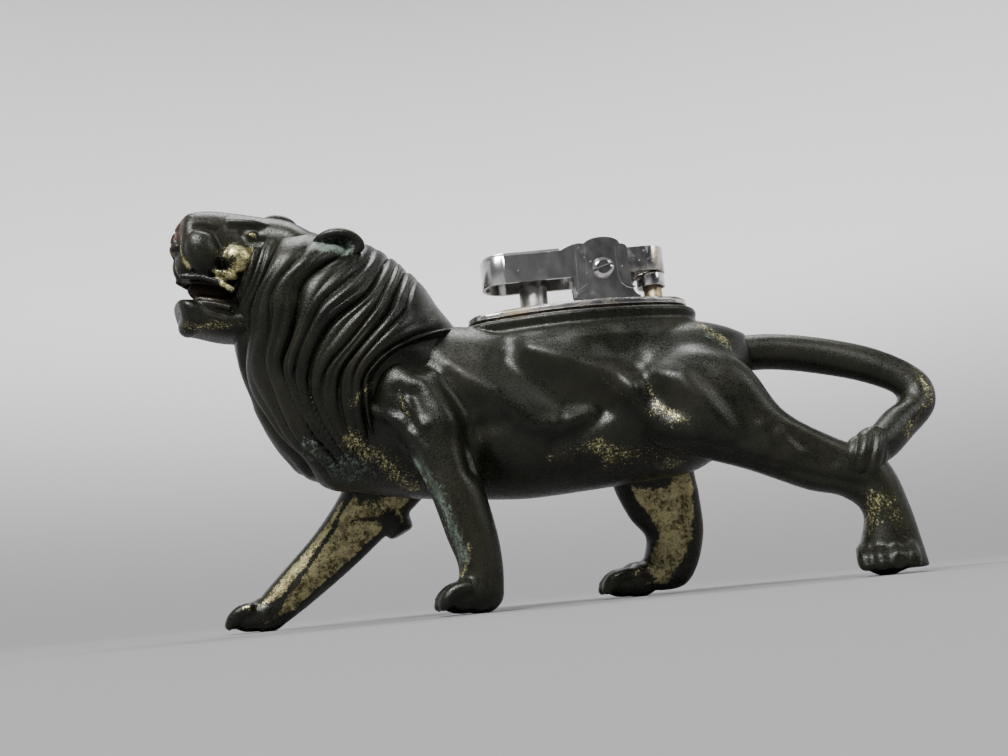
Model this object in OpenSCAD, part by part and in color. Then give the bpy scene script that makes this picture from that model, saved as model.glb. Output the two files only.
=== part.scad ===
// Novelty table lighter: a striding, roaring lion cast in two halves, with a lift-arm petrol insert.
// The lion walks towards -X and stands on z = 0. The thumb lever is at the -X end of the insert.

/* [Lion] */
// Length of the lion from its nose to the bend of its tail
lion_l = 132.2; // [126:0.2:138]
// Height of the seat for the insert above the ground, which the lion's own height follows
seat_z = 51; // [49:0.5:54]
// Width of the trunk across the ribs
trunk_w = 25; // [22:0.5:28]
// Width of the mane
mane_w = 33; // [30:0.5:36]
// Height of the mane's locks
lock_h = 1.5; // [0.6:0.1:2]
// Depth of the step where the mane ends on the shoulder
mane_step = 1.6; // [0.8:0.1:2.4]
// Width of the head across the cheeks
head_w = 21; // [18:0.5:23]
// Width of the muzzle
muzzle_w = 11.5; // [9:0.5:13]
// Length of an ear
ear_l = 9; // [7:0.5:11]
// Distance across between the left and the right paws
stance_w = 26.5; // [25:0.5:30]
// Thickness of the shanks
shank_d = 8; // [7:0.25:9]
// Clear width between the flat inner faces of the left and the right legs
legs_apart = 19.4; // [18.4:0.2:20.4]
// Length of a paw
paw_l = 12.5; // [11:0.5:14]
// Width of a paw
paw_w = 9.5; // [8:0.5:10.5]
// Height of a paw
paw_h = 6.4; // [5.5:0.1:7.5]
// Thickness of the tail
tail_d = 6.6; // [5.5:0.1:7.5]
// Height of the boss that carries the insert
boss_h = 2.4; // [1.5:0.1:3.5]
// How far the boss stands out round the plate
boss_lip = 1.5; // [0.8:0.1:2.2]

/* [Plate and tank] */
// Middle of the insert along the lion
insert_x = 5.7; // [4:0.1:7]
// Length of the cover plate
plate_l = 40.6; // [38:0.2:43]
// Width of the cover plate
plate_w = 17; // [16:0.2:19]
// Radius at the ends of the cover plate
plate_end_r = 5.5; // [4.5:0.1:6.5]
// Thickness of the cover plate with its rolled rim
plate_t = 1.6; // [1.2:0.1:2]
// Thickness of the gasket under the plate
gasket_t = 0.3; // [0.2:0.05:0.5]
// How far the tank stands back from the plate's edge
tank_inset = 2.9; // [2.6:0.1:3.3]
// Depth of the tank under the plate
tank_h = 24.7; // [22:0.1:25.5]
// Wall of the tank
tank_wall = 0.5; // [0.4:0.05:0.8]
// Gap round the tank in its well
well_gap = 1.2; // [0.6:0.1:1.6]
// Gap under the screw heads in the well
well_floor_gap = 0.8; // [0.5:0.1:1.5]

/* [Bracket and axle] */
// Axle's distance from the plate's back end
axle_back = 15; // [14.3:0.1:15.8]
// Height of the axle over the plate
axle_h = 6.3; // [6.25:0.05:6.6]
// Diameter of the axle
axle_d = 2.4; // [2:0.1:2.6]
// Diameter of the axle screw's head
head_d = 3.7; // [3.4:0.1:4]
// Clear width between the ears
bracket_gap = 9.4; // [9.3:0.05:10]
// Thickness of the bracket's sheet
bracket_t = 0.8; // [0.6:0.05:1]
// Thickness of the bracket's base
base_t = 0.6; // [0.4:0.05:0.7]
// Width of an ear at the axle
ear_plate_w = 9.6; // [9:0.1:11]
// Width of an ear at its foot
ear_foot_w = 12.4; // [12:0.1:14]
// Height of an ear over the axle
ear_top = 5.9; // [5.6:0.1:6.1]
// Width of the raised ribs on the ears
rib_w = 0.5; // [0.3:0.05:0.8]
// Height of the raised ribs on the ears
rib_h = 0.25; // [0.1:0.05:0.3]

/* [Spark wheel and flint] */
// Diameter of the spark wheel
wheel_d = 12.3; // [11.6:0.1:12.4]
// Width of the spark wheel
wheel_w = 4.4; // [3.6:0.1:4.6]
// Number of teeth on the spark wheel
wheel_teeth = 36; // [24:1:48]
// Depth of the spark wheel's teeth
tooth_h = 0.35; // [0.2:0.05:0.5]
// Number of teeth on the ratchet
ratchet_teeth = 12; // [8:1:16]
// Diameter of the flint
flint_d = 2.4; // [2:0.1:2.6]
// Length of the flint
flint_l = 4.5; // [3:0.1:6]
// Wall of the flint tube
flint_wall = 0.85; // [0.6:0.05:1]

/* [Thumb lever] */
// Reach of the thumb lever from the axle
lever_reach = 22.4; // [21:0.1:23]
// Width of the thumb lever
lever_w = 9; // [8.8:0.05:9.2]
// Depth of the lever's cheeks
lever_h = 5.2; // [4.8:0.1:5.3]
// Thickness of the lever's and the arm's sheet
sheet_t = 0.6; // [0.5:0.05:0.7]
// Height of the lever's top over the axle
lever_top = 4.3; // [4.1:0.05:4.5]
// Thickness of the thumb pad
pad_t = 0.6; // [0.4:0.05:0.8]
// Length of the thumb pad
pad_l = 14.4; // [13:0.1:15]
// Lever pin's distance in front of the axle
pin_fore = 4; // [3.9:0.05:4.1]
// Lever pin's distance under the axle
pin_drop = 3.5; // [3.4:0.05:3.6]
// Diameter of the lever pin
pin_d = 1.2; // [1:0.1:1.4]

/* [Snuffer] */
// Reach of the snuffer arm from the axle
arm_reach = 11.8; // [11.6:0.1:12.4]
// Width of the snuffer arm
arm_w = 7.2; // [7:0.05:7.3]
// Height of the arm's top over the axle
arm_top = 4; // [3.8:0.1:4.1]
// Depth of the arm's cheeks
arm_h = 4.6; // [4.4:0.1:4.7]
// Diameter of the snuffer cap
cap_d = 5.2; // [5:0.1:5.4]
// Wall of the snuffer cap
cap_wall = 0.35; // [0.3:0.05:0.45]
// Drop of the cap's rim under the axle
cap_drop = 3.2; // [3:0.05:3.3]
// Diameter of the wick tube
tube_d = 3.4; // [3:0.1:3.5]
// Wall of the wick tube
tube_wall = 0.35; // [0.25:0.05:0.5]
// Height of the wick tube over the plate
tube_rise = 4.1; // [3.9:0.1:4.3]
// Wick tube's place behind the axle
tube_back = 9.2; // [9.1:0.05:9.3]

/* [Plunger] */
// Outer diameter of the plunger's barrel
barrel_d = 5.2; // [4.6:0.1:5.6]
// Height of the barrel over the plate
barrel_rise = 5; // [3:0.1:5.4]
// Depth of the barrel under the plate
barrel_depth = 8; // [6:0.1:10]
// Diameter of the plunger
plunger_d = 3.4; // [3:0.1:3.6]
// Plunger's place in front of the lever pin
plunger_fore = 9; // [8.5:0.1:9.5]
// Wire of the springs
wire_d = 0.4; // [0.3:0.05:0.5]

/* [Screws under the tank] */
// Diameter of the flint screw's head
flint_head_d = 5.2; // [4.6:0.1:5.6]
// Diameter of the filler screw
filler_d = 4; // [3.6:0.1:4.4]
// Diameter of the filler screw's head
filler_head_d = 6.4; // [6:0.1:7]
// Filler screw's distance from the plate's front end
filler_fore = 10.8; // [9.8:0.1:11.3]
// Height of the two screw heads
head_t = 1.2; // [0.9:0.1:1.4]

/* [Fits] */
// Radial clearance of a turning or sliding fit
run = 0.06; // [0.03:0.01:0.09]
// Free gap between parts that must not rub
slip = 0.3; // [0.2:0.05:0.35]

/* [Hidden] */
$fn = 48;
// The lion is drawn at this length and this height of seat, and stretched to the sizes above
drawn_l = 132.2;
drawn_seat_z = 51;
long = lion_l / drawn_l;
tall = seat_z / drawn_seat_z;
plate_z = seat_z + gasket_t;
top_z = plate_z + plate_t;
axle_x = insert_x + plate_l / 2 - axle_back;
axle_z = top_z + axle_h;
tank_floor = plate_z - tank_h;
well_floor = tank_floor - head_t - well_floor_gap;
pin_x = axle_x - pin_fore;
pin_z = axle_z - pin_drop;
plunger_x = pin_x - plunger_fore;
tube_x = axle_x + tube_back;
filler_x = insert_x - plate_l / 2 + filler_fore;
flint_r = flint_d / 2;
flint_tube_r = flint_r + run + flint_wall;
flint_top = axle_z - wheel_d / 2 - 0.1;
flint_foot = flint_top - flint_l;
follower_h = 1.6;
flint_screw_in = 4.5;
spring_floor = plate_z - barrel_depth + base_t;
plunger_foot = plate_z - 0.4;
stud_r = 0.5;
stud_orbit = 2.5;
stud_start = 17;
paw_y = stance_w / 2;
shank_r = shank_d / 2;
tail_r = tail_d / 2;
ear_in = bracket_gap / 2;
ear_out = ear_in + bracket_t;
head_at = [-52, -5.6];
head_turn = 28;
rib_line = [[2.8, 4.4], [2.75, 1.5], [2.85, -1.6], [3.2, -2.9], [4.1, -3.8], [5.2, -4.2]];
rivet_r = 0.6;
rivet_x = 4.4;
wheel_slot_l = 6;
wheel_slot_w = wheel_w + 1;
wick_r = tube_d / 2 - tube_wall - 0.1;
wick_foot = tank_floor + 4;
filler_seal_t = 0.4;
press = 13;
web_start = 5.9;
finger_x = 3.75;
ratchet_r = 3.3;
cup_top = arm_h - arm_top;
cup_roof = cup_top + 0.4;
wick_over = 0.3;

// Lofts. A row is x, y, z, half width, height above, depth below, lean, turn and squareness of one ring.
// A ring with no lean stands across X; its lean tips its top towards +X, and its turn swings it about Z.

// A row on the smooth curve through four rows, t of the way from the second to the third
function between(a, b, c, d, t) =
  b + 0.5 * t * ((c - a) + t * ((2 * a - 5 * b + 4 * c - d) + t * (3 * b - a - 3 * c + d)));

function smooth(rows, steps) = [
  for (i = [0:len(rows) - 2])
    for (k = [0:steps - 1])
      between(rows[max(i - 1, 0)], rows[i], rows[i + 1], rows[min(i + 2, len(rows) - 1)], k / steps),
  rows[len(rows) - 1]
];

function bend(v, power) = sign(v) * pow(abs(v), 2 / power);

// A place in the drawn lion, moved to the lion of the sizes above
function spot(x, y, z) = [x * long, y, z * tall];

function flat_relief() = function (p) 0;

// One ring, pushed out along its spokes by the relief at each point of the drawn lion
function ring(row, sides, relief) =
  let (
    side = [-sin(row[7]), cos(row[7]), 0],
    up = [sin(row[6]) * cos(row[7]), sin(row[6]) * sin(row[7]), cos(row[6])]
  ) [
    for (k = [0:sides - 1])
      let (
        a = 360 * k / sides,
        high = sin(a) > 0 ? row[4] : row[5],
        spoke = side * row[3] * bend(cos(a), row[8]) + up * high * bend(sin(a), row[8]),
        at = [row[0], row[1], row[2]] + spoke,
        out = at + spoke * relief(at) / max(norm(spoke), 0.1)
      )
      spot(out[0], out[1], out[2])
  ];

function middle_of(points, i = 0, sum = [0, 0, 0]) =
  i == len(points) ? sum / len(points) : middle_of(points, i + 1, sum + points[i]);

// A closed skin over rings of equally many points
module skin(rings) {
  n = len(rings[0]);
  last = len(rings) - 1;
  points = [for (r = rings) for (p = r) p, middle_of(rings[0]), middle_of(rings[last])];
  faces = [
    for (i = [0:last - 1])
      for (k = [0:n - 1])
        let (a = i * n + k, b = i * n + (k + 1) % n)
        each [[a, a + n, b + n], [a, b + n, b]],
    for (k = [0:n - 1]) [(last + 1) * n, k, (k + 1) % n],
    for (k = [0:n - 1]) [(last + 1) * n + 1, last * n + (k + 1) % n, last * n + k]
  ];
  polyhedron(points, faces);
}

module loft(rows, steps = 4, sides = 24, relief = flat_relief()) {
  skin([for (row = smooth(rows, steps)) ring(row, sides, relief)]);
}

function share(v) = max(0, min(1, v));

function total(list) = list * [for (v = list) 1];

// Distance from a point to the stretch between two points
function gap_to(p, a, b) =
  let (t = share(((p - a) * (b - a)) / ((b - a) * (b - a))))
  norm(p - a - t * (b - a));

function line_gap(p, line) = min([for (i = [0:len(line) - 2]) gap_to(p, line[i], line[i + 1])]);

// Soft ridges along lines: each has its line, its reach and its height, negative for a hollow
function swell(p, list) = total([for (m = list) m[2] * exp(-pow(line_gap(p, m[0]) / m[1], 2))]);

// Muscles and folds of either flank, drawn on the plane of X and Z
flank_folds = [
  [[[-24, 44.5], [-19.5, 40], [-16, 34], [-15, 29], [-14.5, 24.5]], 2.2, -1.2],
  [[[-18.5, 42], [-15, 39.5], [-11, 37], [-7, 32.5]], 2.2, 0.9],
  [[[-3.5, 43], [0.5, 41], [5.5, 39.5], [9, 35], [9.5, 33.5]], 2.6, 1.0],
  [[[-8, 43], [-3, 38.5], [1.5, 34.5], [7.5, 33.5]], 2.8, -1.1],
  [[[2, 31], [5.5, 31]], 2.6, 0.9],
  [[[10, 44], [12.5, 40]], 2.8, -0.9],
  [[[15, 36], [17, 37.5], [19.5, 37], [23, 33], [28, 25]], 2.2, 1.0]
];
// Those of the near shoulder and thigh alone
near_folds = [
  [[[-24.5, 37], [-24, 33.5]], 2, -0.8],
  [[[-21, 40], [-19, 37], [-18, 32.5]], 2.6, 0.9],
  [[[-30.5, 40.5], [-35, 36.5]], 2.2, 0.8],
  [[[-33, 36], [-29, 31.5], [-22.5, 28], [-20.5, 25], [-18.5, 19], [-17, 15.5]], 1.8, 0.9],
  [[[-35.5, 33.5], [-29.5, 27.5], [-24.5, 24.5]], 2, -0.8],
  [[[7.5, 40], [10.5, 36.5], [13.5, 33], [17.5, 29.5], [22.5, 26.5], [27.5, 24]], 2, 0.9],
  [[[16.5, 34.5], [18.5, 29.5], [24, 25.5]], 2.2, -1.1]
];

function body_relief() = function (p)
  swell([p[0], p[2]], flank_folds) + (p[1] < 0 ? swell([p[0], p[2]], near_folds) : 0);

module trunk() {
  loft(
    [
      [-48, -1, 40, 0.28 * trunk_w, 9, 8, 0, 0, 2],
      [-42, 0, 38, 0.42 * trunk_w, 14, 13, 0, 0, 2],
      [-34, 0, 37, 0.5 * trunk_w, 17, 14.5, 0, 0, 2.1],
      [-26, 0, 36, 0.52 * trunk_w, 18, 15, 0, 0, 2.2],
      [-17, 0, 35.5, 0.5 * trunk_w, 16.4, 15.5, 0, 0, 2.2],
      [-7, 0, 35, 0.5 * trunk_w, 15.2, 15.8, 0, 0, 2.3],
      [4, 0, 35, 0.47 * trunk_w, 14.6, 15.4, 0, 0, 2.3],
      [14, 0, 35.3, 0.48 * trunk_w, 14.2, 15, 0, 0, 2.3],
      [24, 0, 36, 0.48 * trunk_w, 13, 14.6, 0, 0, 2.2],
      [31, 0, 38, 0.38 * trunk_w, 9.6, 12, 0, 0, 2.1],
      [36, 0, 40.5, 0.2 * trunk_w, 5, 7, 0, 0, 2]
    ],
    3, 30, body_relief()
  );
}

// Grooves between the locks: height and place along X, from the chest up to the crest. The last one is where
// the mane ends on the shoulder.
grooves = [
  [[28, -43.5], [34, -49.5], [41, -53.5], [47, -55], [52.5, -54], [59, -49.5], [68.5, -45], [78, -42]],
  [[28, -39], [33, -43], [38.5, -46], [44.5, -47.5], [48.5, -44.5], [53.5, -43], [58, -42], [64, -35.5],
    [78, -33]],
  [[26.5, -37.4], [30.5, -39.8], [35, -41.8], [40.5, -43], [45.5, -42], [51, -38], [55.5, -32.5], [63, -29],
    [78, -28]],
  [[28.5, -36.2], [32.5, -38], [37.5, -39], [42.5, -38], [47, -34], [52.5, -28.5], [58, -26.8], [78, -25]],
  [[29, -34.5], [34.5, -35.5], [40.8, -35.2], [44.6, -32], [48.2, -26], [52, -23], [57, -23.5], [78, -21.5]]
];

// How many locks behind the first groove a place along X lies, where at holds the grooves' own places
function lock_phase(x, at) =
  max(-1, min(0, (x - at[0]) / 7))
  + total([for (i = [0:len(at) - 2]) share((x - at[i]) / max(at[i + 1] - at[i], 0.5))]);

// Rounded locks with narrow grooves between them, and a step down past the last groove
function locks() = function (p)
  let (
    at = [for (line = grooves) lookup(p[2], line)],
    past = share((p[0] - at[len(at) - 1]) / 1.4)
  )
  lock_h * (1 - past) * (abs(sin(180 * lock_phase(p[0], at))) - 0.5) - mane_step * past;

module mane() {
  loft(
    [
      [-52, -4, 66, 0.27 * mane_w, 8, 9, 40, 12, 2],
      [-47, -2.5, 61.5, 0.4 * mane_w, 11.4, 16.4, 40, 6, 2],
      [-41, -1, 55.5, 0.48 * mane_w, 15.8, 20, 40, 0, 2],
      [-34, 0, 49.5, 0.5 * mane_w, 15.6, 23.6, 38, 0, 2.1],
      [-27, 0, 44, 0.46 * mane_w, 12.6, 24.8, 36, 0, 2.1],
      [-20, 0, 40, 0.38 * mane_w, 9.2, 19, 34, 0, 2.1]
    ],
    8, 28, locks()
  );
}

// Forms of the face: how far ahead of the middle of the head, how far aside and how high
face_forms = [
  [[[14, 0, 71.4], [12.6, 0, 72.8]], 2, 0.3],
  [[[12, 0, 74], [8, 0, 74.6], [2, 0, 75]], 2, 0.4],
  [[[9.6, 4.4, 67.4], [10, 4, 65.4]], 2.6, 0.9],
  [[[8, 3, 72.4], [4.5, 4.6, 73.6], [0.5, 6.2, 73.4]], 1.8, 1],
  [[[6.4, 4.8, 70.4], [4, 6.2, 70.2]], 1.7, -1.1],
  [[[3.4, 6.8, 66], [4.6, 5.6, 63]], 2.6, 0.8],
  [[[11.4, 0, 52.8], [9.6, 0, 52.4]], 2.4, 0.7]
];

function face_relief() = function (p)
  let (
    x = p[0] - head_at[0],
    y = p[1] - head_at[1],
    ahead = -x * cos(head_turn) - y * sin(head_turn),
    aside = x * sin(head_turn) - y * cos(head_turn)
  )
  swell([ahead, abs(aside), p[2]], face_forms);

module head() {
  loft(
    [
      [-64.8, -12.2, 68.4, 0.18 * muzzle_w, 3.4, 4.2, 8, 28, 2.4],
      [-63.7, -11.8, 68.7, 0.38 * muzzle_w, 5.5, 6.8, 6, 28, 2.6],
      [-60.4, -10, 69, 0.48 * muzzle_w, 6.1, 8, 4, 28, 2.6],
      [-56.5, -7.8, 68.8, 0.54 * muzzle_w, 6.2, 9.4, 0, 28, 2.4],
      [-52, -5.6, 68.2, 0.42 * head_w, 6.8, 10.6, 0, 26, 2.2],
      [-46.5, -3.4, 67.4, 0.5 * head_w, 7.6, 10, 0, 20, 2],
      [-40, -1.5, 66, 0.44 * head_w, 7, 10, 0, 10, 2]
    ],
    3, 24, face_relief()
  );
  loft(
    [
      [-64.9, -12.3, 56.8, 0.2 * muzzle_w, 2.1, 2, -12, 28, 2.4],
      [-63.9, -11.7, 56.2, 0.36 * muzzle_w, 3, 2.9, -10, 28, 2.5],
      [-61, -10.2, 55.2, 0.44 * muzzle_w, 2.8, 2.4, 0, 28, 2.5],
      [-57, -8.2, 54.2, 0.48 * muzzle_w, 2.2, 2.2, 6, 27, 2.4],
      [-50, -5, 54.8, 0.32 * head_w, 3.4, 3.4, 10, 22, 2.1]
    ],
    3, 20, face_relief()
  );
  // Tongue and the back of the mouth
  loft(
    [
      [-62.2, -10.9, 58.8, 0.18 * muzzle_w, 0.8, 1.6, -8, 28, 2.2],
      [-60.4, -10.1, 58.6, 0.28 * muzzle_w, 1.8, 2.6, 0, 28, 2.2],
      [-57.4, -8.6, 58.2, 0.34 * muzzle_w, 3, 3.4, 0, 28, 2.2],
      [-53, -6.4, 58.4, 0.42 * muzzle_w, 4, 4, 0, 26, 2]
    ],
    3, 14
  );
}

// A cupped ear whose hollow faces out along its turned and tipped axis
module ear(at, turn, tip, size) {
  translate(at)
    rotate([tip, 0, turn])
      difference() {
        hull() {
          scale([1, 0.5, 0.62]) sphere(d = size, $fn = 14);
          translate([0.1 * size, 0.34 * size, -0.12 * size]) sphere(d = 0.6 * size, $fn = 12);
        }
        translate([0, -0.26 * size, 0.04 * size]) scale([0.72, 0.42, 0.4]) sphere(d = size, $fn = 12);
      }
}

// A paw with four toes, its sole flat on the ground and its toes along the heading
module paw(at, heading) {
  toe_r = 0.155 * paw_w;
  translate(at)
    rotate([0, 0, heading])
      intersection() {
        union() {
          hull() {
            translate([-0.12 * paw_l, 0, 0.5 * paw_h]) scale([1, 1, 0.8]) sphere(d = 0.86 * paw_w, $fn = 14);
            translate([0.22 * paw_l, 0, 0.32 * paw_h]) scale([0.8, 1, 0.8]) sphere(d = 0.8 * paw_w, $fn = 14);
            translate([0.1 * paw_l, 0, 0]) cylinder(d = 0.8 * paw_w, h = 0.4, $fn = 16);
          }
          for (k = [-1.5:1:1.5])
            translate([-0.03 * k * k * paw_l, 0.25 * k * paw_w, 0])
              hull() {
                translate([0.12 * paw_l, 0, 0.72 * paw_h]) sphere(r = toe_r, $fn = 8);
                translate([0.38 * paw_l, 0, 0.44 * paw_h]) sphere(r = 1.1 * toe_r, $fn = 8);
                translate([0.5 * paw_l - toe_r, 0, 0.6 * toe_r]) sphere(r = toe_r, $fn = 8);
              }
        }
        translate([-paw_l, -paw_l, 0]) cube([2 * paw_l, 2 * paw_l, 2 * paw_h]);
      }
}

module near_legs() {
  // Front leg, straight under the shoulder
  loft(
    [
      [-27, -9.5, 47, 3, 3.4, 4, 90, 0, 2],
      [-26.2, -10.5, 42, 5, 5.8, 7, 90, 0, 2],
      [-23, -11.2, 34, 5.4, 7, 7.4, 90, 0, 2.1],
      [-20.6, -12, 27, 4.8, 5.2, 5.4, 90, 0, 2.1],
      [-18.4, -0.97 * paw_y, 20.5, 1.02 * shank_r, 1.12 * shank_r, 1.2 * shank_r, 90, 0, 2.1],
      [-16.8, -paw_y, 13, 0.92 * shank_r, 1.1 * shank_r, 1.05 * shank_r, 90, 0, 2.1],
      [-15.7, -paw_y, 7.4, 0.9 * shank_r, 0.94 * shank_r, 0.92 * shank_r, 90, 0, 2.1],
      [-16.2, -paw_y, 3, shank_r, shank_r, 1.1 * shank_r, 90, 0, 2.1]
    ],
    3, 18, body_relief()
  );
  paw(spot(-17.4, -paw_y, 0), 184);
  // Hind leg, stretched back
  loft(
    [
      [12, -9, 40, 3.4, 6, 8, 20, 0, 2],
      [19, -10, 37, 5.4, 9, 12, 28, 0, 2.1],
      [28, -10.6, 32, 5.4, 8, 11, 36, 0, 2.1],
      [36, -11, 26, 4.8, 3.8, 8, 38, 0, 2.1],
      [44, -11.6, 20.4, 4.4, 3.8, 6.2, 36, 0, 2.1],
      [49.5, -12.4, 16.8, 4.1, 4.8, 4.8, 48, 0, 2.1],
      [52.6, -0.98 * paw_y, 11, 0.95 * shank_r, 0.95 * shank_r, 0.95 * shank_r, 84, 0, 2.1],
      [52.4, -paw_y, 4, shank_r, 5.2, 5.2, 90, 0, 2.1]
    ],
    3, 18, body_relief()
  );
  paw(spot(51.6, 0.8 - paw_y, 0), 258);
}

module far_legs() {
  // Front leg, reaching forward
  loft(
    [
      [-24, 9.5, 44, 3, 5, 5, 100, 0, 2],
      [-26, 10.5, 38, 5, 9, 8.2, 104, 0, 2],
      [-32, 11.4, 29, 5, 9, 7.6, 118, 0, 2.1],
      [-38, 12.2, 21.5, 4.4, 7, 5.2, 130, 0, 2.1],
      [-44.5, paw_y, 14.6, 0.95 * shank_r, 5.6, 4.3, 134, 0, 2.1],
      [-51, paw_y, 8.2, 0.9 * shank_r, 4.2, 4.2, 136, 0, 2.1],
      [-56.5, paw_y, 4, 0.9 * shank_r, 3.6, 3.4, 150, 0, 2.1]
    ],
    3, 18
  );
  hull() {
    translate(spot(-30.6, 12.2, 17)) sphere(d = 4.6, $fn = 12);
    translate(spot(-35, 12, 22)) sphere(d = 8, $fn = 12);
  }
  paw(spot(-58.8, paw_y, 0), 176);
  // Hind leg, bent forward under the belly
  loft(
    [
      [22, 9.5, 42, 3, 7, 7, 84, 0, 2],
      [20, 10.6, 34, 5, 11, 10, 84, 0, 2],
      [17.6, 11.4, 24, 4.8, 8.4, 8.2, 80, 0, 2.1],
      [19, 12.3, 16.5, 0.98 * shank_r, 7.2, 7, 78, 0, 2.1],
      [20.4, paw_y, 10.5, 0.94 * shank_r, 5.6, 5.4, 96, 0, 2.1],
      [18, paw_y, 5, 0.9 * shank_r, 5.2, 4.4, 128, 0, 2.1],
      [14.4, paw_y, 3, 0.9 * shank_r, 3, 3, 140, 0, 2.1]
    ],
    3, 18
  );
  paw(spot(11.6, paw_y, 0), 176);
}

// An oval of four arcs, half_l by half_w, with its end radius. The arcs meet where the line through their
// centres cuts them, so an oval grown or drawn in keeps the same corners.
module oval(half_l, half_w, end_r) {
  end_steps = 14;
  side_steps = 12;
  reach = half_l - end_r;
  side_r = (reach * reach + half_w * half_w - end_r * end_r) / (2 * (half_w - end_r));
  meet = atan2(side_r - half_w, reach);
  polygon([
    for (s = [1, -1]) each [
      for (i = [0:end_steps - 1])
        let (a = -meet + 2 * meet * i / end_steps)
        s * [reach + end_r * cos(a), end_r * sin(a)],
      for (i = [0:side_steps - 1])
        let (a = meet + (180 - 2 * meet) * i / side_steps)
        s * [side_r * cos(a), half_w - side_r + side_r * sin(a)]
    ]
  ]);
}

// The plate's oval, grown or drawn in by an offset that keeps it parallel
module plate_oval(grow) {
  translate([insert_x, 0]) oval(plate_l / 2 + grow, plate_w / 2 + grow, plate_end_r + grow);
}

module boss() {
  translate([0, 0, seat_z - boss_h]) linear_extrude(boss_h) plate_oval(boss_lip - 0.3);
  translate([0, 0, seat_z - 0.6]) linear_extrude(0.2) plate_oval(boss_lip);
  hull() {
    translate([0, 0, seat_z - boss_h - 0.4]) linear_extrude(0.4) plate_oval(boss_lip);
    translate([insert_x, 0, seat_z - boss_h - 9]) cube([1.05 * plate_l, 1.2 * plate_w, 1], center = true);
  }
}

// The tank's well, and the way in over the seat
module well() {
  translate([0, 0, well_floor]) linear_extrude(seat_z - well_floor + 1) plate_oval(well_gap - tank_inset);
  translate([0, 0, seat_z]) linear_extrude(30) plate_oval(slip);
}

module tail_form() {
  loft(
    [
      [33, 0, 41.9, 1.1 * tail_r, tail_r, tail_r, 0, 0, 2],
      [40, -0.6, 41.7, tail_r, tail_r, tail_r, 2, 0, 2],
      [48, -2.2, 39.9, 0.95 * tail_r, tail_r, tail_r, 14, 8, 2],
      [56.4, -4.6, 36.7, 0.95 * tail_r, tail_r, tail_r, 34, 14, 2],
      [62.1, -6.6, 32.6, 0.95 * tail_r, tail_r, tail_r, 62, 20, 2],
      [62.3, -7.8, 28.6, 0.95 * tail_r, tail_r, tail_r, 104, 24, 2],
      [57.9, -9.8, 25, 0.95 * tail_r, 0.95 * tail_r, 0.95 * tail_r, 136, 24, 2],
      [54.2, -12, 22, 0.9 * tail_r, 0.9 * tail_r, 0.9 * tail_r, 140, 24, 2]
    ],
    4, 12
  );
  // Tuft, laid over the hock
  loft(
    [
      [52, -14.2, 24.6, 0.9, 1, 1, 88, 0, 2],
      [51.4, -14.6, 23, 2, 2.6, 2.6, 90, 0, 2],
      [50.2, -15, 20.2, 2.7, 3.3, 3.3, 92, 0, 2],
      [49.8, -15, 17.6, 2.3, 2.7, 2.7, 90, 0, 2],
      [50, -14.7, 15.2, 0.9, 1.1, 1.1, 88, 0, 2]
    ],
    3, 14
  );
}

// Between the legs: their inner faces are flat, and lean in to the belly above the knees
module between_legs() {
  half = legs_apart / 2;
  knee_z = 18 * tall;
  belly_z = 28 * tall;
  rotate([90, 0, 90])
    linear_extrude(200, center = true)
      polygon([[-half, -1], [half, -1], [half, knee_z], [0, belly_z], [-half, knee_z]]);
}

// Everything of the lion that crosses the parting plane
module shared_form() {
  trunk();
  mane();
  head();
  boss();
}

module half_space(side) {
  size = 200;
  translate([-size / 2, side < 0 ? -size : 0, -1]) cube([size, size, size]);
}

module casting_left() {
  color("#3b3a2a")
    difference() {
      intersection() {
        union() {
          shared_form();
          difference() {
            near_legs();
            between_legs();
          }
          ear(spot(-36.2, -12.8, 65.4), -8, 16, ear_l);
        }
        half_space(-1);
      }
      well();
      tail_form();
    }
}

module casting_right() {
  color("#45412c")
    difference() {
      intersection() {
        union() {
          shared_form();
          difference() {
            far_legs();
            between_legs();
          }
          ear(spot(-47.6, 6.4, 75.8), 150, -30, 0.85 * ear_l);
        }
        half_space(1);
      }
      well();
      tail_form();
    }
}

module tail() {
  color("#4a4630") tail_form();
}

module seat_gasket() {
  color("#6b4a2f")
    translate([0, 0, seat_z])
      linear_extrude(gasket_t)
        difference() {
          plate_oval(-0.4);
          plate_oval(well_gap - tank_inset);
        }
}

module cover_plate() {
  color("#c9ccd0")
    difference() {
      union() {
        translate([0, 0, plate_z]) linear_extrude(plate_t) plate_oval(-0.5);
        translate([0, 0, plate_z + 0.15]) linear_extrude(plate_t - 0.3) plate_oval(-0.15);
        translate([0, 0, plate_z + 0.4]) linear_extrude(plate_t - 0.8) plate_oval(0);
      }
      translate([plunger_x, 0, plate_z - 1]) cylinder(d = barrel_d, h = plate_t + 2);
      translate([axle_x, 0, plate_z - 1]) cylinder(r = flint_tube_r, h = plate_t + 2);
      translate([tube_x, 0, plate_z - 1]) cylinder(d = tube_d, h = plate_t + 2);
      at_rivets() translate([0, 0, plate_z - 1]) cylinder(r = rivet_r, h = plate_t + 2);
    }
}

module at_rivets() {
  for (s = [-1, 1]) translate([axle_x + s * rivet_x, 0, 0]) children();
}

module tank() {
  boss_r = filler_d / 2 + 1;
  inside = -tank_inset - tank_wall;
  color("#a9abad")
    difference() {
      union() {
        difference() {
          translate([0, 0, tank_floor]) linear_extrude(tank_h) plate_oval(-tank_inset);
          translate([0, 0, tank_floor + tank_wall]) linear_extrude(tank_h) plate_oval(inside);
        }
        translate([filler_x, 0, tank_floor]) cylinder(r = boss_r, h = 3);
      }
      translate([axle_x, 0, tank_floor - 1]) cylinder(r = flint_tube_r, h = 3);
      translate([filler_x, 0, tank_floor - 1]) cylinder(d = filler_d + 2 * run, h = 5);
    }
}

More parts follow.
